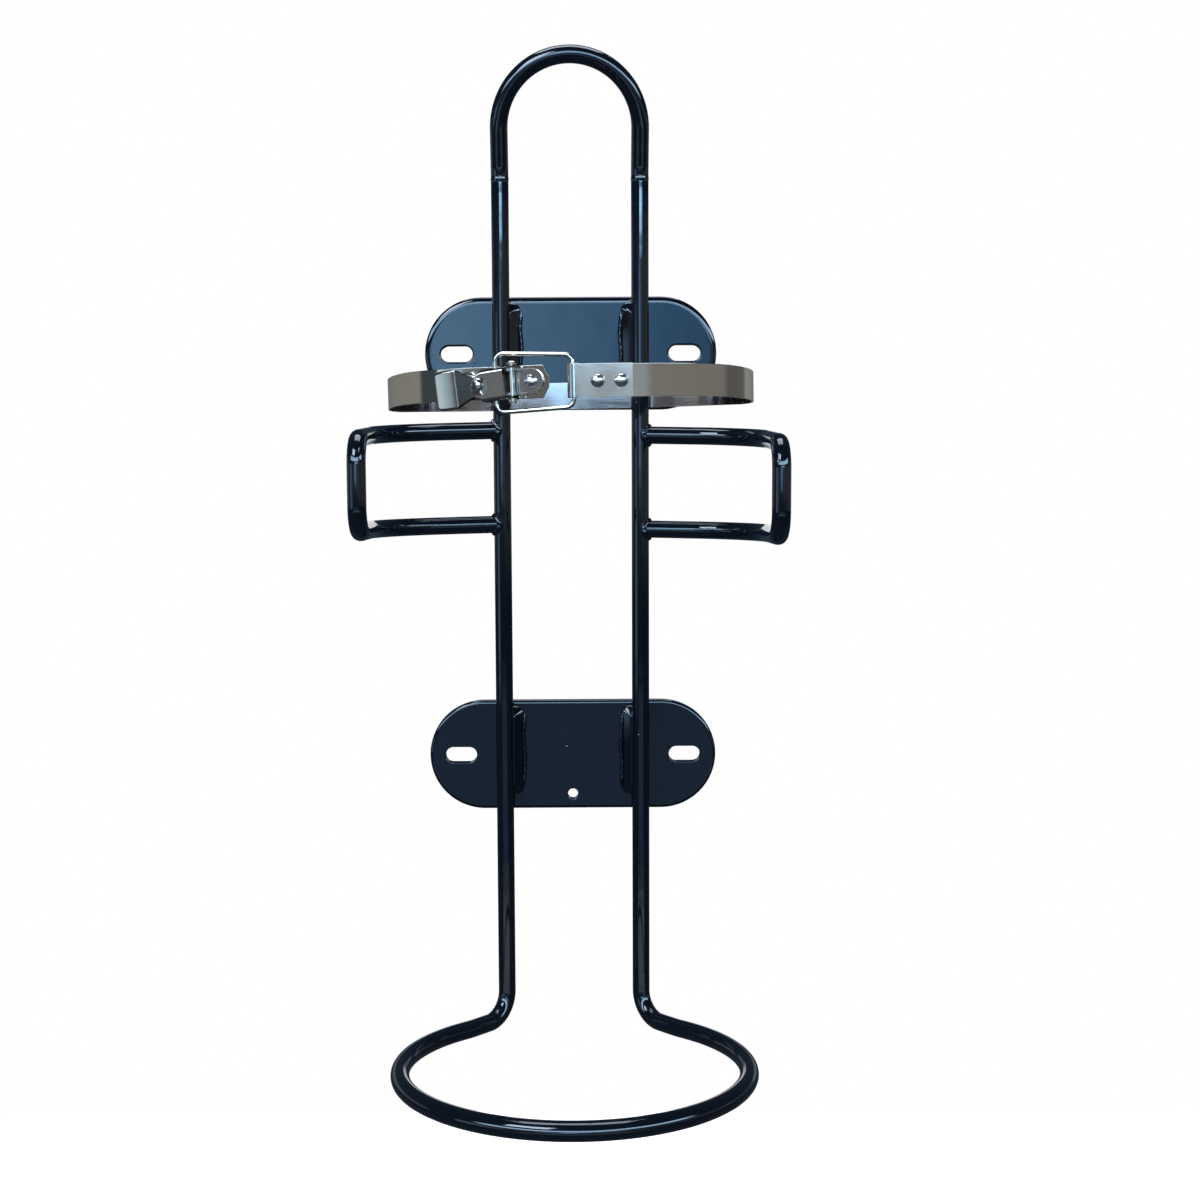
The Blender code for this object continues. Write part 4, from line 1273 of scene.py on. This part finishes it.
@dataclass
class LatchBase:
    """The pressed base riveted to the strap's other end, with two ears for the pivot pin."""

    layout: Layout
    sheet: float = 0.0010
    width: float = 0.0118
    left: float = 0.0180
    right: float = 0.0192
    rivet_spacing: float = 0.0267
    ear_radius: float = 0.0030
    ear_foot: float = 0.0044
    ear_heel: float = 0.0058
    ear_proud: float = 0.0001
    ear_root: float = 0.3
    pin_bore: float = 0.0027
    corner: float = 0.002
    edge: float = 0.00016

    @property
    def rivet_places(self) -> dict[str, float]:
        """Node name to the rivet's place along the base."""
        last = self.right - self.width / 2
        return {"base_left_rivet": last - self.rivet_spacing, "base_right_rivet": last}

    def build(self, finishes: FinishSet) -> None:
        """Builds and dresses the base and its rivets."""
        frame = self.layout.latch_frame()
        half = self.width / 2
        low, corner = self.layout.seat_gap, self.corner
        outline = arc((self.right - half, 0.0), half, -math.pi / 2, math.pi / 2, 28)
        outline += arc((-self.left + corner, half - corner), corner, math.pi / 2, math.pi, 6)
        outline += arc((-self.left + corner, -half + corner), corner, math.pi, 1.5 * math.pi, 6)
        base = keep_mesh("pressed_latch_base", prism(outline, -low - self.sheet, -low, Axis.Y))
        middle = (self.layout.pin_offset, self.layout.pin_height)
        foot = low + self.ear_root * self.sheet
        ear = [Vector((middle[0] + self.ear_heel, foot))] + arc(middle, self.ear_radius, 0.0, math.pi, 24)
        ear.append(Vector((middle[0] - self.ear_foot, foot)))
        outer = half + self.ear_proud
        ears = []
        for side in (1, -1):
            span = sorted((side * outer, side * (outer - self.sheet)))
            ears.append(keep_mesh("ear", prism([(p.x, -p.y) for p in ear], *span)))
        combine(base, ears, "UNION")
        bore = round_outline(self.pin_bore / 2, BORE_STEPS, (middle[0], -middle[1]))
        rivet = Rivet()
        tools = [keep_mesh("pin_bore", prism(bore, -self.width, self.width))]
        tools += [rivet.hole(Matrix.Identity(4), along) for along in self.rivet_places.values()]
        combine(base, tools)
        ease_edges(base, self.edge)
        base.data.transform(frame)
        weigh_normals(base)
        settle(base, finishes.base, Body.BRACKET, ["latch_base"])
        for node, along in self.rivet_places.items():
            rivet.build(node, self.layout, frame, along, self.sheet, finishes)


@dataclass
class Strap:
    """One stainless band: pointed tip under the latch, round the cylinder, behind the uprights."""

    layout: Layout
    base: LatchBase
    catch: CatchPlate
    end_overhang: float = 0.0024
    tip_length: float = 0.003
    tip_width: float = 0.0050
    corner_radius: float = 0.0570
    base_lead: float = 0.002
    catch_lead: float = 0.001
    sag: float = 0.0016
    sag_reach: float = 0.8
    edge: float = 0.00016
    inner_facing: float = 0.5

    def flank(self, end: Vector, heading: Vector, side: Side) -> list[Vector]:
        """The strap from a flat end at the front, round one side, to behind the upright.

        Args:
            end: where the flat end stops.
            heading: the direction the strap leaves it.
            side: the side it goes round.

        Returns:
            The middle line's points.
        """
        middle = self.layout.strap_middle
        widest = Vector((side.value * middle, 0.0))
        turn = heading.angle(Vector((0.0, 1.0)))
        handle = (widest - end).length * (4 / 3) * math.tan(turn / 4) / (2 * math.sin(turn / 2))
        first = Vector((*(end + heading * handle), 0.0))
        second = Vector((widest.x, -handle, 0.0))
        bend = interpolate_bezier(Vector((*end, 0.0)), first, second, Vector((*widest, 0.0)), 60)
        points = [Vector((p.x, p.y)) for p in bend]
        wrap = self.layout.rod_radius + self.layout.seat_gap + self.layout.strap_thickness / 2
        back = self.layout.strap_forward + wrap
        corner = (middle - self.corner_radius, back - self.corner_radius)
        for share in (0.2, 0.4, 0.6, 0.8):
            points.append(Vector((widest.x, corner[1] * share)))
        for point in arc(corner, self.corner_radius, 0.0, math.pi / 2, 40):
            points.append(Vector((side.value * point.x, point.y)))
        return points

    def hang(self, point: Vector) -> float:
        """How far the free flank hangs below the strap's ends and back.

        Args:
            point: a point of the middle line.

        Returns:
            The sag there.
        """
        reach = self.sag_reach if point.y < 0 else 1.0
        share = min(max(1.0 - abs(point.y) / (reach * self.layout.strap_middle), 0.0), 1.0)
        return self.sag * share * share * (3 - 2 * share)

    def stations(self) -> list[tuple[Vector, float]]:
        """The strap's middle line and half heights.

        Returns:
            A point and the half height there, from the tip round to the catch plate.
        """
        half = self.layout.strap_width / 2
        out, along = self.layout.heading(self.layout.latch_angle, Side.LEFT)
        middle = out * self.layout.strap_middle
        tip = self.base.right + self.end_overhang
        stations = []
        for share in (0.0, 0.25, 0.5, 0.75, 1.0):
            height = self.tip_width / 2 * (1 - share) + half * share
            stations.append((middle + along * (tip - share * self.tip_length), height))
        left = self.flank(middle - along * (self.base.left + self.base_lead), -along, Side.LEFT)
        out, along = self.layout.heading(self.layout.catch_angle, Side.RIGHT)
        middle = out * self.layout.strap_middle
        reach = self.catch.length / 2
        right = self.flank(middle + along * (reach + self.catch_lead), along, Side.RIGHT)
        stations += [(point, half) for point in left + list(reversed(right))]
        stations.append((middle + along * (reach - self.catch.strap_under), half))
        return stations

    def build(self, finishes: FinishSet) -> None:
        """Builds and dresses the strap."""
        bm = strip_mesh(self.stations(), self.layout.strap_thickness, self.edge)
        for vert in bm.verts:
            vert.co.z -= self.hang(Vector((vert.co.x, vert.co.y)))
        strap = keep_mesh("rolled_strap", bm, self.layout.strap_frame(), 50.0)
        rivet = Rivet()
        tools = [rivet.hole(self.layout.latch_frame(), along) for along in self.base.rivet_places.values()]
        tools += [rivet.hole(self.layout.catch_frame(), along) for along in self.catch.rivet_places.values()]
        combine(strap, tools)
        weigh_normals(strap)
        settle(strap, finishes.strap, Body.BRACKET, ["strap"])
        strap.data.materials.append(finishes.strap_inside_painted_light)
        # The faces that look at the cylinder's axis get the inner finish, painted lighter for the reflection inside the
        # band
        axis = self.layout.strap_frame().translation
        for face in strap.data.polygons:
            inward = Vector((axis.x - face.center.x, axis.y - face.center.y, 0.0)).normalized()
            if face.normal.dot(inward) > self.inner_facing:
                face.material_index = 1


@dataclass
class Lever:
    """The finger lever: a channel folded over the base's ears, stepped up to a wide tab."""

    layout: Layout
    sheet: float = 0.0009
    inner_width: float = 0.0134
    bend: float = 0.0020
    lip: float = 0.0012
    flange_length: float = 0.0142
    neck_length: float = 0.0050
    neck_width: float = 0.0114
    window_margin: float = 0.0035
    rise: float = 0.0050
    slope: float = math.radians(43.0)
    tab_length: float = 0.0115
    tab_width: float = 0.0184
    hole_diameter: float = 0.0084
    hole_offset: float = 0.0157
    skew: float = math.radians(4.5)
    pin_bore: float = 0.0027
    bail_bore: float = 0.0028
    ear_clearance: float = 0.0018
    window_corner: float = 0.001
    window_overlap: float = 0.0001
    cut_reach: float = 0.012
    bore_reach: float = 0.02
    edge: float = 0.00016
    # Faces whose normals pass these two limits get the painted shade on the lever's neck and web
    painted_shade_side: float = -0.12
    painted_shade_front: float = -0.5

    @property
    def half(self) -> float:
        """Half the channel's outer width."""
        return self.inner_width / 2 + self.sheet

    @property
    def ear(self) -> float:
        """The radius of the lever's ears round the pin."""
        return self.layout.pin_height - self.ear_clearance

    def section(self, half: float, depth: float, outer: float) -> list[tuple[float, float]]:
        """The channel's section.

        Args:
            half: half its outer width.
            depth: how deep its flanges are.
            outer: the bends' outer radius.

        Returns:
            (height, inward) points, the web's outer face at inward 0.
        """
        inner = outer - self.sheet
        edge = half - outer
        turns = [math.pi / 2 * i / 8 for i in range(9)]
        points = [(half, depth)]
        points += [(edge + outer * math.cos(a), outer - outer * math.sin(a)) for a in turns]
        points += [(-edge - outer * math.cos(a), outer - outer * math.sin(a)) for a in reversed(turns)]
        points += [(-half, depth), (-half + self.sheet, depth)]
        points += [(-edge - inner * math.cos(a), outer - inner * math.sin(a)) for a in turns]
        points += [(edge + inner * math.cos(a), outer - inner * math.sin(a)) for a in reversed(turns)]
        points.append((half - self.sheet, depth))
        return points

    def stations(self) -> list[tuple[float, float, float, float, float, float]]:
        """Along the lever from its pin to its tab.

        Returns:
            Place along, height of the web, tilt, half width, flange depth and bend radius.
        """
        ear, rise, lip = self.ear, self.rise, self.lip
        stations = []
        # The ears' round end, about the pin
        for degrees in (74, 66, 56, 46, 36, 26, 16, 8, 0):
            angle = math.radians(degrees)
            up = ear * math.cos(angle)
            stations.append((ear * math.sin(angle), up, 0.0, self.half, 2 * up, min(self.bend, 1.6 * up)))
        flange, neck = self.flange_length, self.neck_length
        waist, tab = self.neck_width / 2, self.tab_width / 2
        ridge, rim = 0.94 * tab, 1.1 * lip
        stations.append((-0.75 * flange, ear, 0.0, self.half, 2 * ear, self.bend))
        stations.append((-0.9 * flange, ear, 0.0, self.half, 1.8 * ear, self.bend))
        stations.append((-flange, ear, 0.0, self.half, 1.6 * ear, self.bend))
        # The neck: share of its length, share of the full width left, flange depth and bend as shares
        for share, fade, depth, bend in ((0.15, 0.86, 1.32, 0.92), (0.3, 0.6, 1.0, 0.8), (0.45, 0.24, 0.72, 0.68)):
            half = fade * self.half + (1 - fade) * waist
            stations.append((-flange - share * neck, ear, 0.0, half, depth * ear, bend * self.bend))
        foot = flange + neck
        run = rise / math.tan(self.slope)
        stations.append((-flange - 0.6 * neck, ear, 0.0, waist, rim, lip))
        stations.append((-flange - 0.8 * neck, ear, 0.0, waist, rim, lip))
        # The slope up to the tab: share of its run, of the rise, of the tilt, and of the widening
        for share, up, tilt, flare in (
            (0.0, 0.05, 0.4, 0.0),
            (0.1, 0.12, 0.8, 0.06),
            (0.25, 0.23, 1.0, 0.2),
            (0.5, 0.49, 1.0, 0.52),
            (0.7, 0.7, 1.0, 0.82),
            (0.82, 0.82, 1.0, 0.98),
            (0.94, 0.93, 0.8, 1.04),
        ):
            half = waist + flare * (ridge - waist)
            stations.append((-foot - share * run, ear + up * rise, tilt * self.slope, half, rim, lip))
        stations.append((-foot - 1.05 * run, ear + rise, 0.4 * self.slope, tab, rim, lip))
        edge = foot + 1.05 * run
        # The tab, which dips to its round end: share of its length, fall, tilt and share of its width
        for share, fall, tilt, width in (
            (0.12, -0.02, 0.1, 1.0),
            (0.35, -0.01, -0.06, 1.0),
            (0.6, 0.06, -0.16, 1.0),
            (0.82, 0.16, -0.26, 0.97),
            (0.94, 0.24, -0.34, 0.88),
            (1.0, 0.29, -0.4, 0.74),
        ):
            place = -edge - share * self.tab_length
            stations.append((place, ear + rise - fall * rise, tilt, width * tab, rim, lip))
        return stations

    def build(self, finishes: FinishSet) -> None:
        """Builds and dresses the lever."""
        rings = []
        for along, up, tilt, half, depth, bend in self.stations():
            ring = []
            for height, inward in self.section(half, depth, bend):
                ring.append((along - inward * math.sin(tilt), -(up - inward * math.cos(tilt)), height))
            rings.append(ring)
        skew = Matrix.Rotation(-self.skew, 4, "Y")
        lever = keep_mesh("pressed_lever", lofted(rings), skew)
        side, reach = self.inner_width / 2 - self.window_overlap, self.cut_reach
        bail_seat = (-self.layout.bail_crank, self.layout.bail_seat_drop)
        window = box_outline((-self.window_margin, -reach), (reach, reach), self.window_corner, 4)
        pin_bore = round_outline(self.pin_bore / 2, BORE_STEPS)
        bail_bore = round_outline(self.bail_bore / 2, BORE_STEPS, bail_seat)
        hole = round_outline(self.hole_diameter / 2, 48, (-self.hole_offset, 0.0))
        tools = [
            keep_mesh("window", prism(window, -side, side), skew),
            keep_mesh("pin_bore", prism(pin_bore, -self.bore_reach, self.bore_reach)),
            keep_mesh("bail_bore", prism(bail_bore, -self.bore_reach, self.bore_reach)),
            keep_mesh("sight_hole", prism(hole, -reach, 0.0, Axis.Y), skew),
        ]
        combine(lever, tools)
        ease_edges(lever, self.edge)
        lever.data.transform(self.layout.lever_frame())
        weigh_normals(lever)
        settle(lever, finishes.lever, Body.LEVER, ["lever"])
        lever.data.materials.append(finishes.neck)
        # Painted shade: the neck and web faces that face forward and not to the tab's side get the dark copy of the
        # steel
        for face in lever.data.polygons:
            if face.normal.x > self.painted_shade_side and face.normal.y < self.painted_shade_front:
                face.material_index = 1


@dataclass
class PivotPin:
    """The lever's pin with its two upset heads, and a washer under each."""

    layout: Layout
    lever: Lever
    diameter: float = 0.0023
    head_diameter: float = 0.0042
    head_length: float = 0.0007
    washer_diameter: float = 0.0048
    washer_thickness: float = 0.0005
    washer_ease: float = 0.0001

    def build(self, finishes: FinishSet) -> None:
        """Builds and dresses the pin and its washers."""
        shank, head = self.diameter / 2, self.head_diameter / 2
        gap = self.layout.seat_gap
        washer_low = self.lever.half + self.lever.ear * math.sin(self.lever.skew) + gap
        washer_high = washer_low + self.washer_thickness
        low = washer_high + gap
        # The upset head: radius, and share of the head's length
        upset = [(head, 0.3), (0.97 * head, 0.62), (0.86 * head, 0.88), (0.66 * head, 1.0), (0.0, 1.0)]
        upper = [(radius, low + share * self.head_length) for radius, share in upset]
        profile = [(radius, -height) for radius, height in reversed(upper)]
        profile += [(head, -low), (shank, -low), (shank, low), (head, low)] + upper
        frame = self.layout.lever_frame()
        pin = keep_mesh("bright_pivot_pin", turned(profile), frame)
        settle(pin, finishes.wire, Body.BRACKET, ["pivot_pin"])
        bore, rim, ease = shank + self.layout.running_gap, self.washer_diameter / 2, self.washer_ease
        for side, place in ((1, "upper"), (-1, "lower")):
            near, far = sorted((side * washer_low, side * washer_high))
            ring = [(bore, near), (rim * 0.97, near), (rim, near + ease), (rim, far - ease)]
            ring += [(rim * 0.97, far), (bore, far), (bore, near)]
            washer = keep_mesh(f"bright_{place}_washer", turned(ring), frame)
            settle(washer, finishes.wire, Body.BRACKET, [f"{place}_washer"])


@dataclass
class Bail:
    """The closed wire loop that the lever pulls on, its far leg hooked in the catch plate."""

    layout: Layout
    catch: CatchPlate
    left_height: float = 0.0293
    right_height: float = 0.0259
    corner: float = 0.0040
    sides: int = 24

    def build(self, finishes: FinishSet) -> None:
        """Builds and dresses the bail."""
        wire = self.layout.bail_wire
        frame = self.layout.bail_frame()
        far = frame.inverted() @ (self.layout.strap_frame() @ Vector((*self.catch.seat(), 0.0)))
        left = Vector((0, 0, (self.left_height - wire) / 2))
        right = Vector((0, 0, (self.right_height - wire) / 2))
        corners = [left, far + right, far - right, -left]
        points = []
        for i in range(4):
            points += fillet(corners[i - 1], corners[i], corners[(i + 1) % 4], self.corner, 14)
        bail = keep_mesh("bright_bail", rod_mesh(points, wire, self.sides, closed=True), frame)
        settle(bail, finishes.wire, Body.BAIL, ["bail"])


# ---- Studio


@dataclass(frozen=True)
class Pane:
    """A bright patch of the room that only metal and gloss see.

    Its edges fade between pairs of numbers: the height of the ray for the low and high edges, and the
    turn from straight ahead in radians for the left and right ones.
    """

    left_colour: Colour
    right_colour: Colour
    low: tuple[float, float]
    high: tuple[float, float]
    left: tuple[float, float]
    right: tuple[float, float]

    def lay(self, tree: bpy.types.NodeTree, height: Any, turn: Any, behind: Any) -> Any:
        """Adds the pane to the room.

        Args:
            tree: the world's node tree.
            height: the socket of the ray's height.
            turn: the socket of the ray's turn.
            behind: the socket of the colour it covers.

        Returns:
            The socket of the room's colour with the pane in it.
        """
        mask: Any = 1.0
        for value, span, first in (
            (height, self.low, 0.0),
            (height, self.high, 1.0),
            (turn, self.left, 0.0),
            (turn, self.right, 1.0),
        ):
            ramp = {"Value": value, 1: span[0], 2: span[1], 3: first, 4: 1.0 - first}
            edge = add_node(tree, "ShaderNodeMapRange", ramp)
            mask = add_node(tree, "ShaderNodeMath", {0: mask, 1: edge.outputs[0]}, operation="MULTIPLY").outputs[0]
        fade = add_node(tree, "ShaderNodeMapRange", {"Value": turn, 1: self.left[1], 2: self.right[0]})
        colour = add_node(
            tree,
            "ShaderNodeMix",
            {"Factor": fade.outputs[0], 6: (*self.left_colour, 1), 7: (*self.right_colour, 1)},
            data_type="RGBA",
        )
        covered = add_node(
            tree, "ShaderNodeMix", {"Factor": mask, 6: behind, 7: colour.outputs[2]}, data_type="RGBA"
        )
        return covered.outputs[2]


@dataclass
class Studio:
    """A pale floor, plain soft light and the photograph's viewpoint."""

    eye: tuple[float, float, float] = (0.0, -0.9416, -0.0584)
    pitch: float = math.radians(5.18)
    roll: float = math.radians(-0.32)
    lens: float = 48.06
    shift: float = 0.0233
    sensor: float = 36.0
    aim: tuple[float, float, float] = (0.0, -0.08, -0.1)
    floor_drop: float = 0.75
    floor_middle: float = -0.1
    floor_half: tuple[float, float] = (1.2, 0.8)
    floor_roughness: float = 0.9
    floor_glow: float = 0.6
    floor_hex: str = "#f4f4f4"
    floor_mirrored_hex: str = "#3c4248"
    ambient: Colour = (0.55, 0.56, 0.58)
    # Degrees round from straight ahead of the bracket, and the grey of the room there, white behind it.
    # The two ends come first, because a new colour ramp already has those two stops.
    walls: tuple[tuple[float, Colour], ...] = (
        (-180.0, (1.0, 1.0, 1.0)),
        (180.0, (1.0, 1.0, 1.0)),
        (-174.0, (1.0, 1.0, 1.0)),
        (-168.0, (0.16, 0.17, 0.18)),
        (-138.0, (0.30, 0.30, 0.29)),
        (-100.0, (0.36, 0.36, 0.34)),
        (-95.0, (0.07, 0.09, 0.11)),
        (-56.0, (0.06, 0.08, 0.10)),
        (-44.0, (0.20, 0.20, 0.20)),
        (-26.0, (0.15, 0.15, 0.16)),
        (10.0, (0.12, 0.15, 0.18)),
        (38.0, (0.30, 0.30, 0.28)),
        (108.0, (0.27, 0.27, 0.25)),
        (115.0, (0.14, 0.14, 0.14)),
        (138.0, (0.15, 0.15, 0.15)),
        (143.0, (0.36, 0.36, 0.34)),
        (168.0, (0.16, 0.17, 0.18)),
        (174.0, (1.0, 1.0, 1.0)),
    )
    # The walls fade in and out between these heights of the ray; above and below them is gloom
    wall: tuple[float, float, float, float] = (-0.09, -0.03, 0.12, 0.16)
    gloom: Colour = (0.03, 0.045, 0.07)
    # The window in the upper plate, the streaks down the uprights, the catch plate, the lever's tab,
    # the lower plate, the lower uprights, and the ceiling in the crown and the arms
    panes: tuple[Pane, ...] = (
        Pane((1.6, 2.8, 3.9), (0.55, 1.25, 2.1), (-0.03, 0.0), (0.10, 0.13), (-0.44, -0.08), (0.06, 0.22)),
        Pane((11.0, 17.0, 21.0), (5.0, 8.5, 12.0), (0.118, 0.152), (0.158, 0.164), (-0.16, -0.08), (0.40, 0.60)),
        Pane((0.42, 0.48, 0.52), (0.42, 0.47, 0.51), (-0.05, -0.02), (0.11, 0.14), (0.16, 0.24), (0.46, 0.62)),
        Pane((0.95, 1.25, 1.45), (0.42, 0.58, 0.72), (-0.16, -0.12), (0.07, 0.10), (-1.31, -1.25), (-0.80, -0.70)),
        Pane((0.20, 0.28, 0.42), (0.20, 0.28, 0.42), (-0.26, -0.24), (-0.15, -0.13), (-0.6, -0.5), (0.5, 0.6)),
        Pane((0.84, 0.84, 0.82), (0.84, 0.84, 0.82), (-0.35, -0.32), (-0.28, -0.25), (-0.9, -0.5), (0.5, 0.9)),
        Pane((5.5, 7.4, 9.0), (5.5, 7.4, 9.0), (0.22, 0.25), (0.40, 0.44), (-1.15, -0.95), (1.2, 1.4)),
    )

    def add_camera(self) -> None:
        """Sets the camera where the photograph was taken from."""
        data = bpy.data.cameras.new("eye")
        data.lens = self.lens
        data.sensor_width = self.sensor
        data.shift_x = self.shift
        camera = bpy.data.objects.new("eye", data)
        camera.location = self.eye
        turn = Matrix.Rotation(math.pi / 2 - self.pitch, 4, "X") @ Matrix.Rotation(self.roll, 4, "Z")
        camera.rotation_euler = turn.to_euler()
        bpy.context.scene.collection.objects.link(camera)
        bpy.context.scene.camera = camera

    def add_panel(self, name: str, place: Vector, size: tuple[float, float], watts: float, tint: str) -> None:
        """Adds one soft box that looks at the bracket.

        Args:
            name: the lamp's name.
            place: where it stands.
            size: its width and height.
            watts: its power.
            tint: its colour as a hex code.
        """
        data = bpy.data.lights.new(name, "AREA")
        data.shape = "RECTANGLE"
        data.size, data.size_y = size
        data.energy = watts
        data.color = hex_to_linear(tint)
        lamp = bpy.data.objects.new(name, data)
        lamp.location = place
        lamp.rotation_euler = (Vector(self.aim) - place).to_track_quat("-Z", "Y").to_euler()
        bpy.context.scene.collection.objects.link(lamp)

    def add_world(self) -> None:
        """White to the camera; metal and gloss see a grey room with its bright panes, and white behind."""
        world = bpy.data.worlds.new("studio")
        world.use_nodes = True
        tree = world.node_tree
        output = tree.nodes["World Output"]
        paths = add_node(tree, "ShaderNodeLightPath")
        ray = add_node(tree, "ShaderNodeTexCoord")
        split = add_node(tree, "ShaderNodeSeparateXYZ", {0: ray.outputs["Generated"]})
        ahead = add_node(tree, "ShaderNodeMath", {0: split.outputs["Y"], 1: -1.0}, operation="MULTIPLY")
        turn = add_node(tree, "ShaderNodeMath", {0: split.outputs["X"], 1: ahead.outputs[0]}, operation="ARCTAN2")
        share = add_node(tree, "ShaderNodeMapRange", {"Value": turn.outputs[0], 1: -math.pi, 2: math.pi})
        room = add_node(tree, "ShaderNodeValToRGB", {"Fac": share.outputs[0]})
        stops = room.color_ramp.elements
        for i, (degrees, colour) in enumerate(self.walls):
            place = (degrees + 180) / 360
            stop = stops[i] if i < 2 else stops.new(place)
            stop.position = place
            stop.color = (*colour, 1)
        height = split.outputs["Z"]
        rise = add_node(tree, "ShaderNodeMapRange", {"Value": height, 1: self.wall[0], 2: self.wall[1]})
        fade = {"Value": height, 1: self.wall[2], 2: self.wall[3], 3: 1.0, 4: 0.0}
        fall = add_node(tree, "ShaderNodeMapRange", fade)
        level = add_node(tree, "ShaderNodeMath", {0: rise.outputs[0], 1: fall.outputs[0]}, operation="MULTIPLY")
        dim = add_node(
            tree,
            "ShaderNodeMix",
            {"Factor": level.outputs[0], 6: (*self.gloom, 1), 7: room.outputs[0]},
            data_type="RGBA",
        )
        lit = dim.outputs[2]
        for pane in self.panes:
            lit = pane.lay(tree, height, turn.outputs[0], lit)
        seen = add_node(
            tree,
            "ShaderNodeMath",
            {0: paths.outputs["Is Glossy Ray"], 1: paths.outputs["Is Transmission Ray"]},
            operation="MAXIMUM",
        )
        soft = add_node(
            tree, "ShaderNodeMix", {"Factor": seen.outputs[0], 6: (*self.ambient, 1), 7: lit}, data_type="RGBA"
        )
        shown = add_node(
            tree,
            "ShaderNodeMix",
            {"Factor": paths.outputs["Is Camera Ray"], 6: soft.outputs[2], 7: (1, 1, 1, 1)},
            data_type="RGBA",
        )
        light = add_node(tree, "ShaderNodeBackground", {"Color": shown.outputs[2], "Strength": 1.0})
        tree.links.new(light.outputs[0], output.inputs["Surface"])
        bpy.context.scene.world = world

    def add_floor(self) -> None:
        """A plain pale floor well below the bracket, which hangs on a wall."""
        bm = bmesh.new()
        bmesh.ops.create_grid(bm, x_segments=8, y_segments=8, size=1.0)
        spread = Matrix.Diagonal((*self.floor_half, 1.0, 1.0))
        floor = keep_mesh("floor", bm, Matrix.Translation((0, self.floor_middle, -self.floor_drop)) @ spread)
        material, tree, shader = new_material("pale_floor")
        shader.inputs["Roughness"].default_value = self.floor_roughness
        shader.inputs["Specular IOR Level"].default_value = 0.0
        paths = add_node(tree, "ShaderNodeLightPath")
        # Metal and gloss see the floor dim, or it would light their lower rims
        pale, dim = (*hex_to_linear(self.floor_hex), 1), (*hex_to_linear(self.floor_mirrored_hex), 1)
        shade = add_node(
            tree, "ShaderNodeMix", {"Factor": paths.outputs["Is Glossy Ray"], 6: pale, 7: dim}, data_type="RGBA"
        )
        tree.links.new(shade.outputs[2], shader.inputs["Base Color"])
        glow = add_node(
            tree, "ShaderNodeMath", {0: paths.outputs["Is Camera Ray"], 1: self.floor_glow}, operation="MULTIPLY"
        )
        shader.inputs["Emission Color"].default_value = (1, 1, 1, 1)
        tree.links.new(glow.outputs[0], shader.inputs["Emission Strength"])
        floor.data.materials.append(material)

    def build(self) -> None:
        """Sets the camera, lights, world and floor."""
        bpy.context.scene.view_settings.view_transform = "Standard"
        self.add_camera()
        self.add_world()
        self.add_floor()
        self.add_panel("key", Vector((-0.9, -1.5, 1.3)), (1.0, 0.7), 26.0, "#eef5ff")
        self.add_panel("top", Vector((0.0, 0.2, 1.5)), (1.2, 0.8), 14.0, "#f4f8ff")


def main() -> None:
    """Builds the bracket's sub-assemblies and the studio in order."""
    logging.basicConfig(level=logging.INFO, format="%(name)s: %(message)s")
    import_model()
    studio = Studio()
    studio.build()
    finishes = FinishSet()
    layout = Layout()
    FrameRod(layout).build(finishes)
    SideArm(layout, Side.LEFT, 0.0712, 0.1112).build(finishes)
    SideArm(layout, Side.RIGHT, 0.0744, 0.1088).build(finishes)
    WallPlate(layout, "upper", 0.0).build(finishes)
    WallPlate(layout, "lower", -layout.plate_spacing, tie_hole=True, edge=0.0022).build(finishes)
    for side in Side:
        StandoffPad(layout, side, "upper", 0.0, 0.0425).build(finishes)
        StandoffPad(layout, side, "lower", -layout.plate_spacing, 0.0525).build(finishes)
    base = LatchBase(layout)
    catch = CatchPlate(layout)
    lever = Lever(layout)
    base.build(finishes)
    catch.build(finishes)
    Strap(layout, base, catch).build(finishes)
    lever.build(finishes)
    PivotPin(layout, lever).build(finishes)
    Bail(layout, catch).build(finishes)


if __name__ == "__main__":
    main()
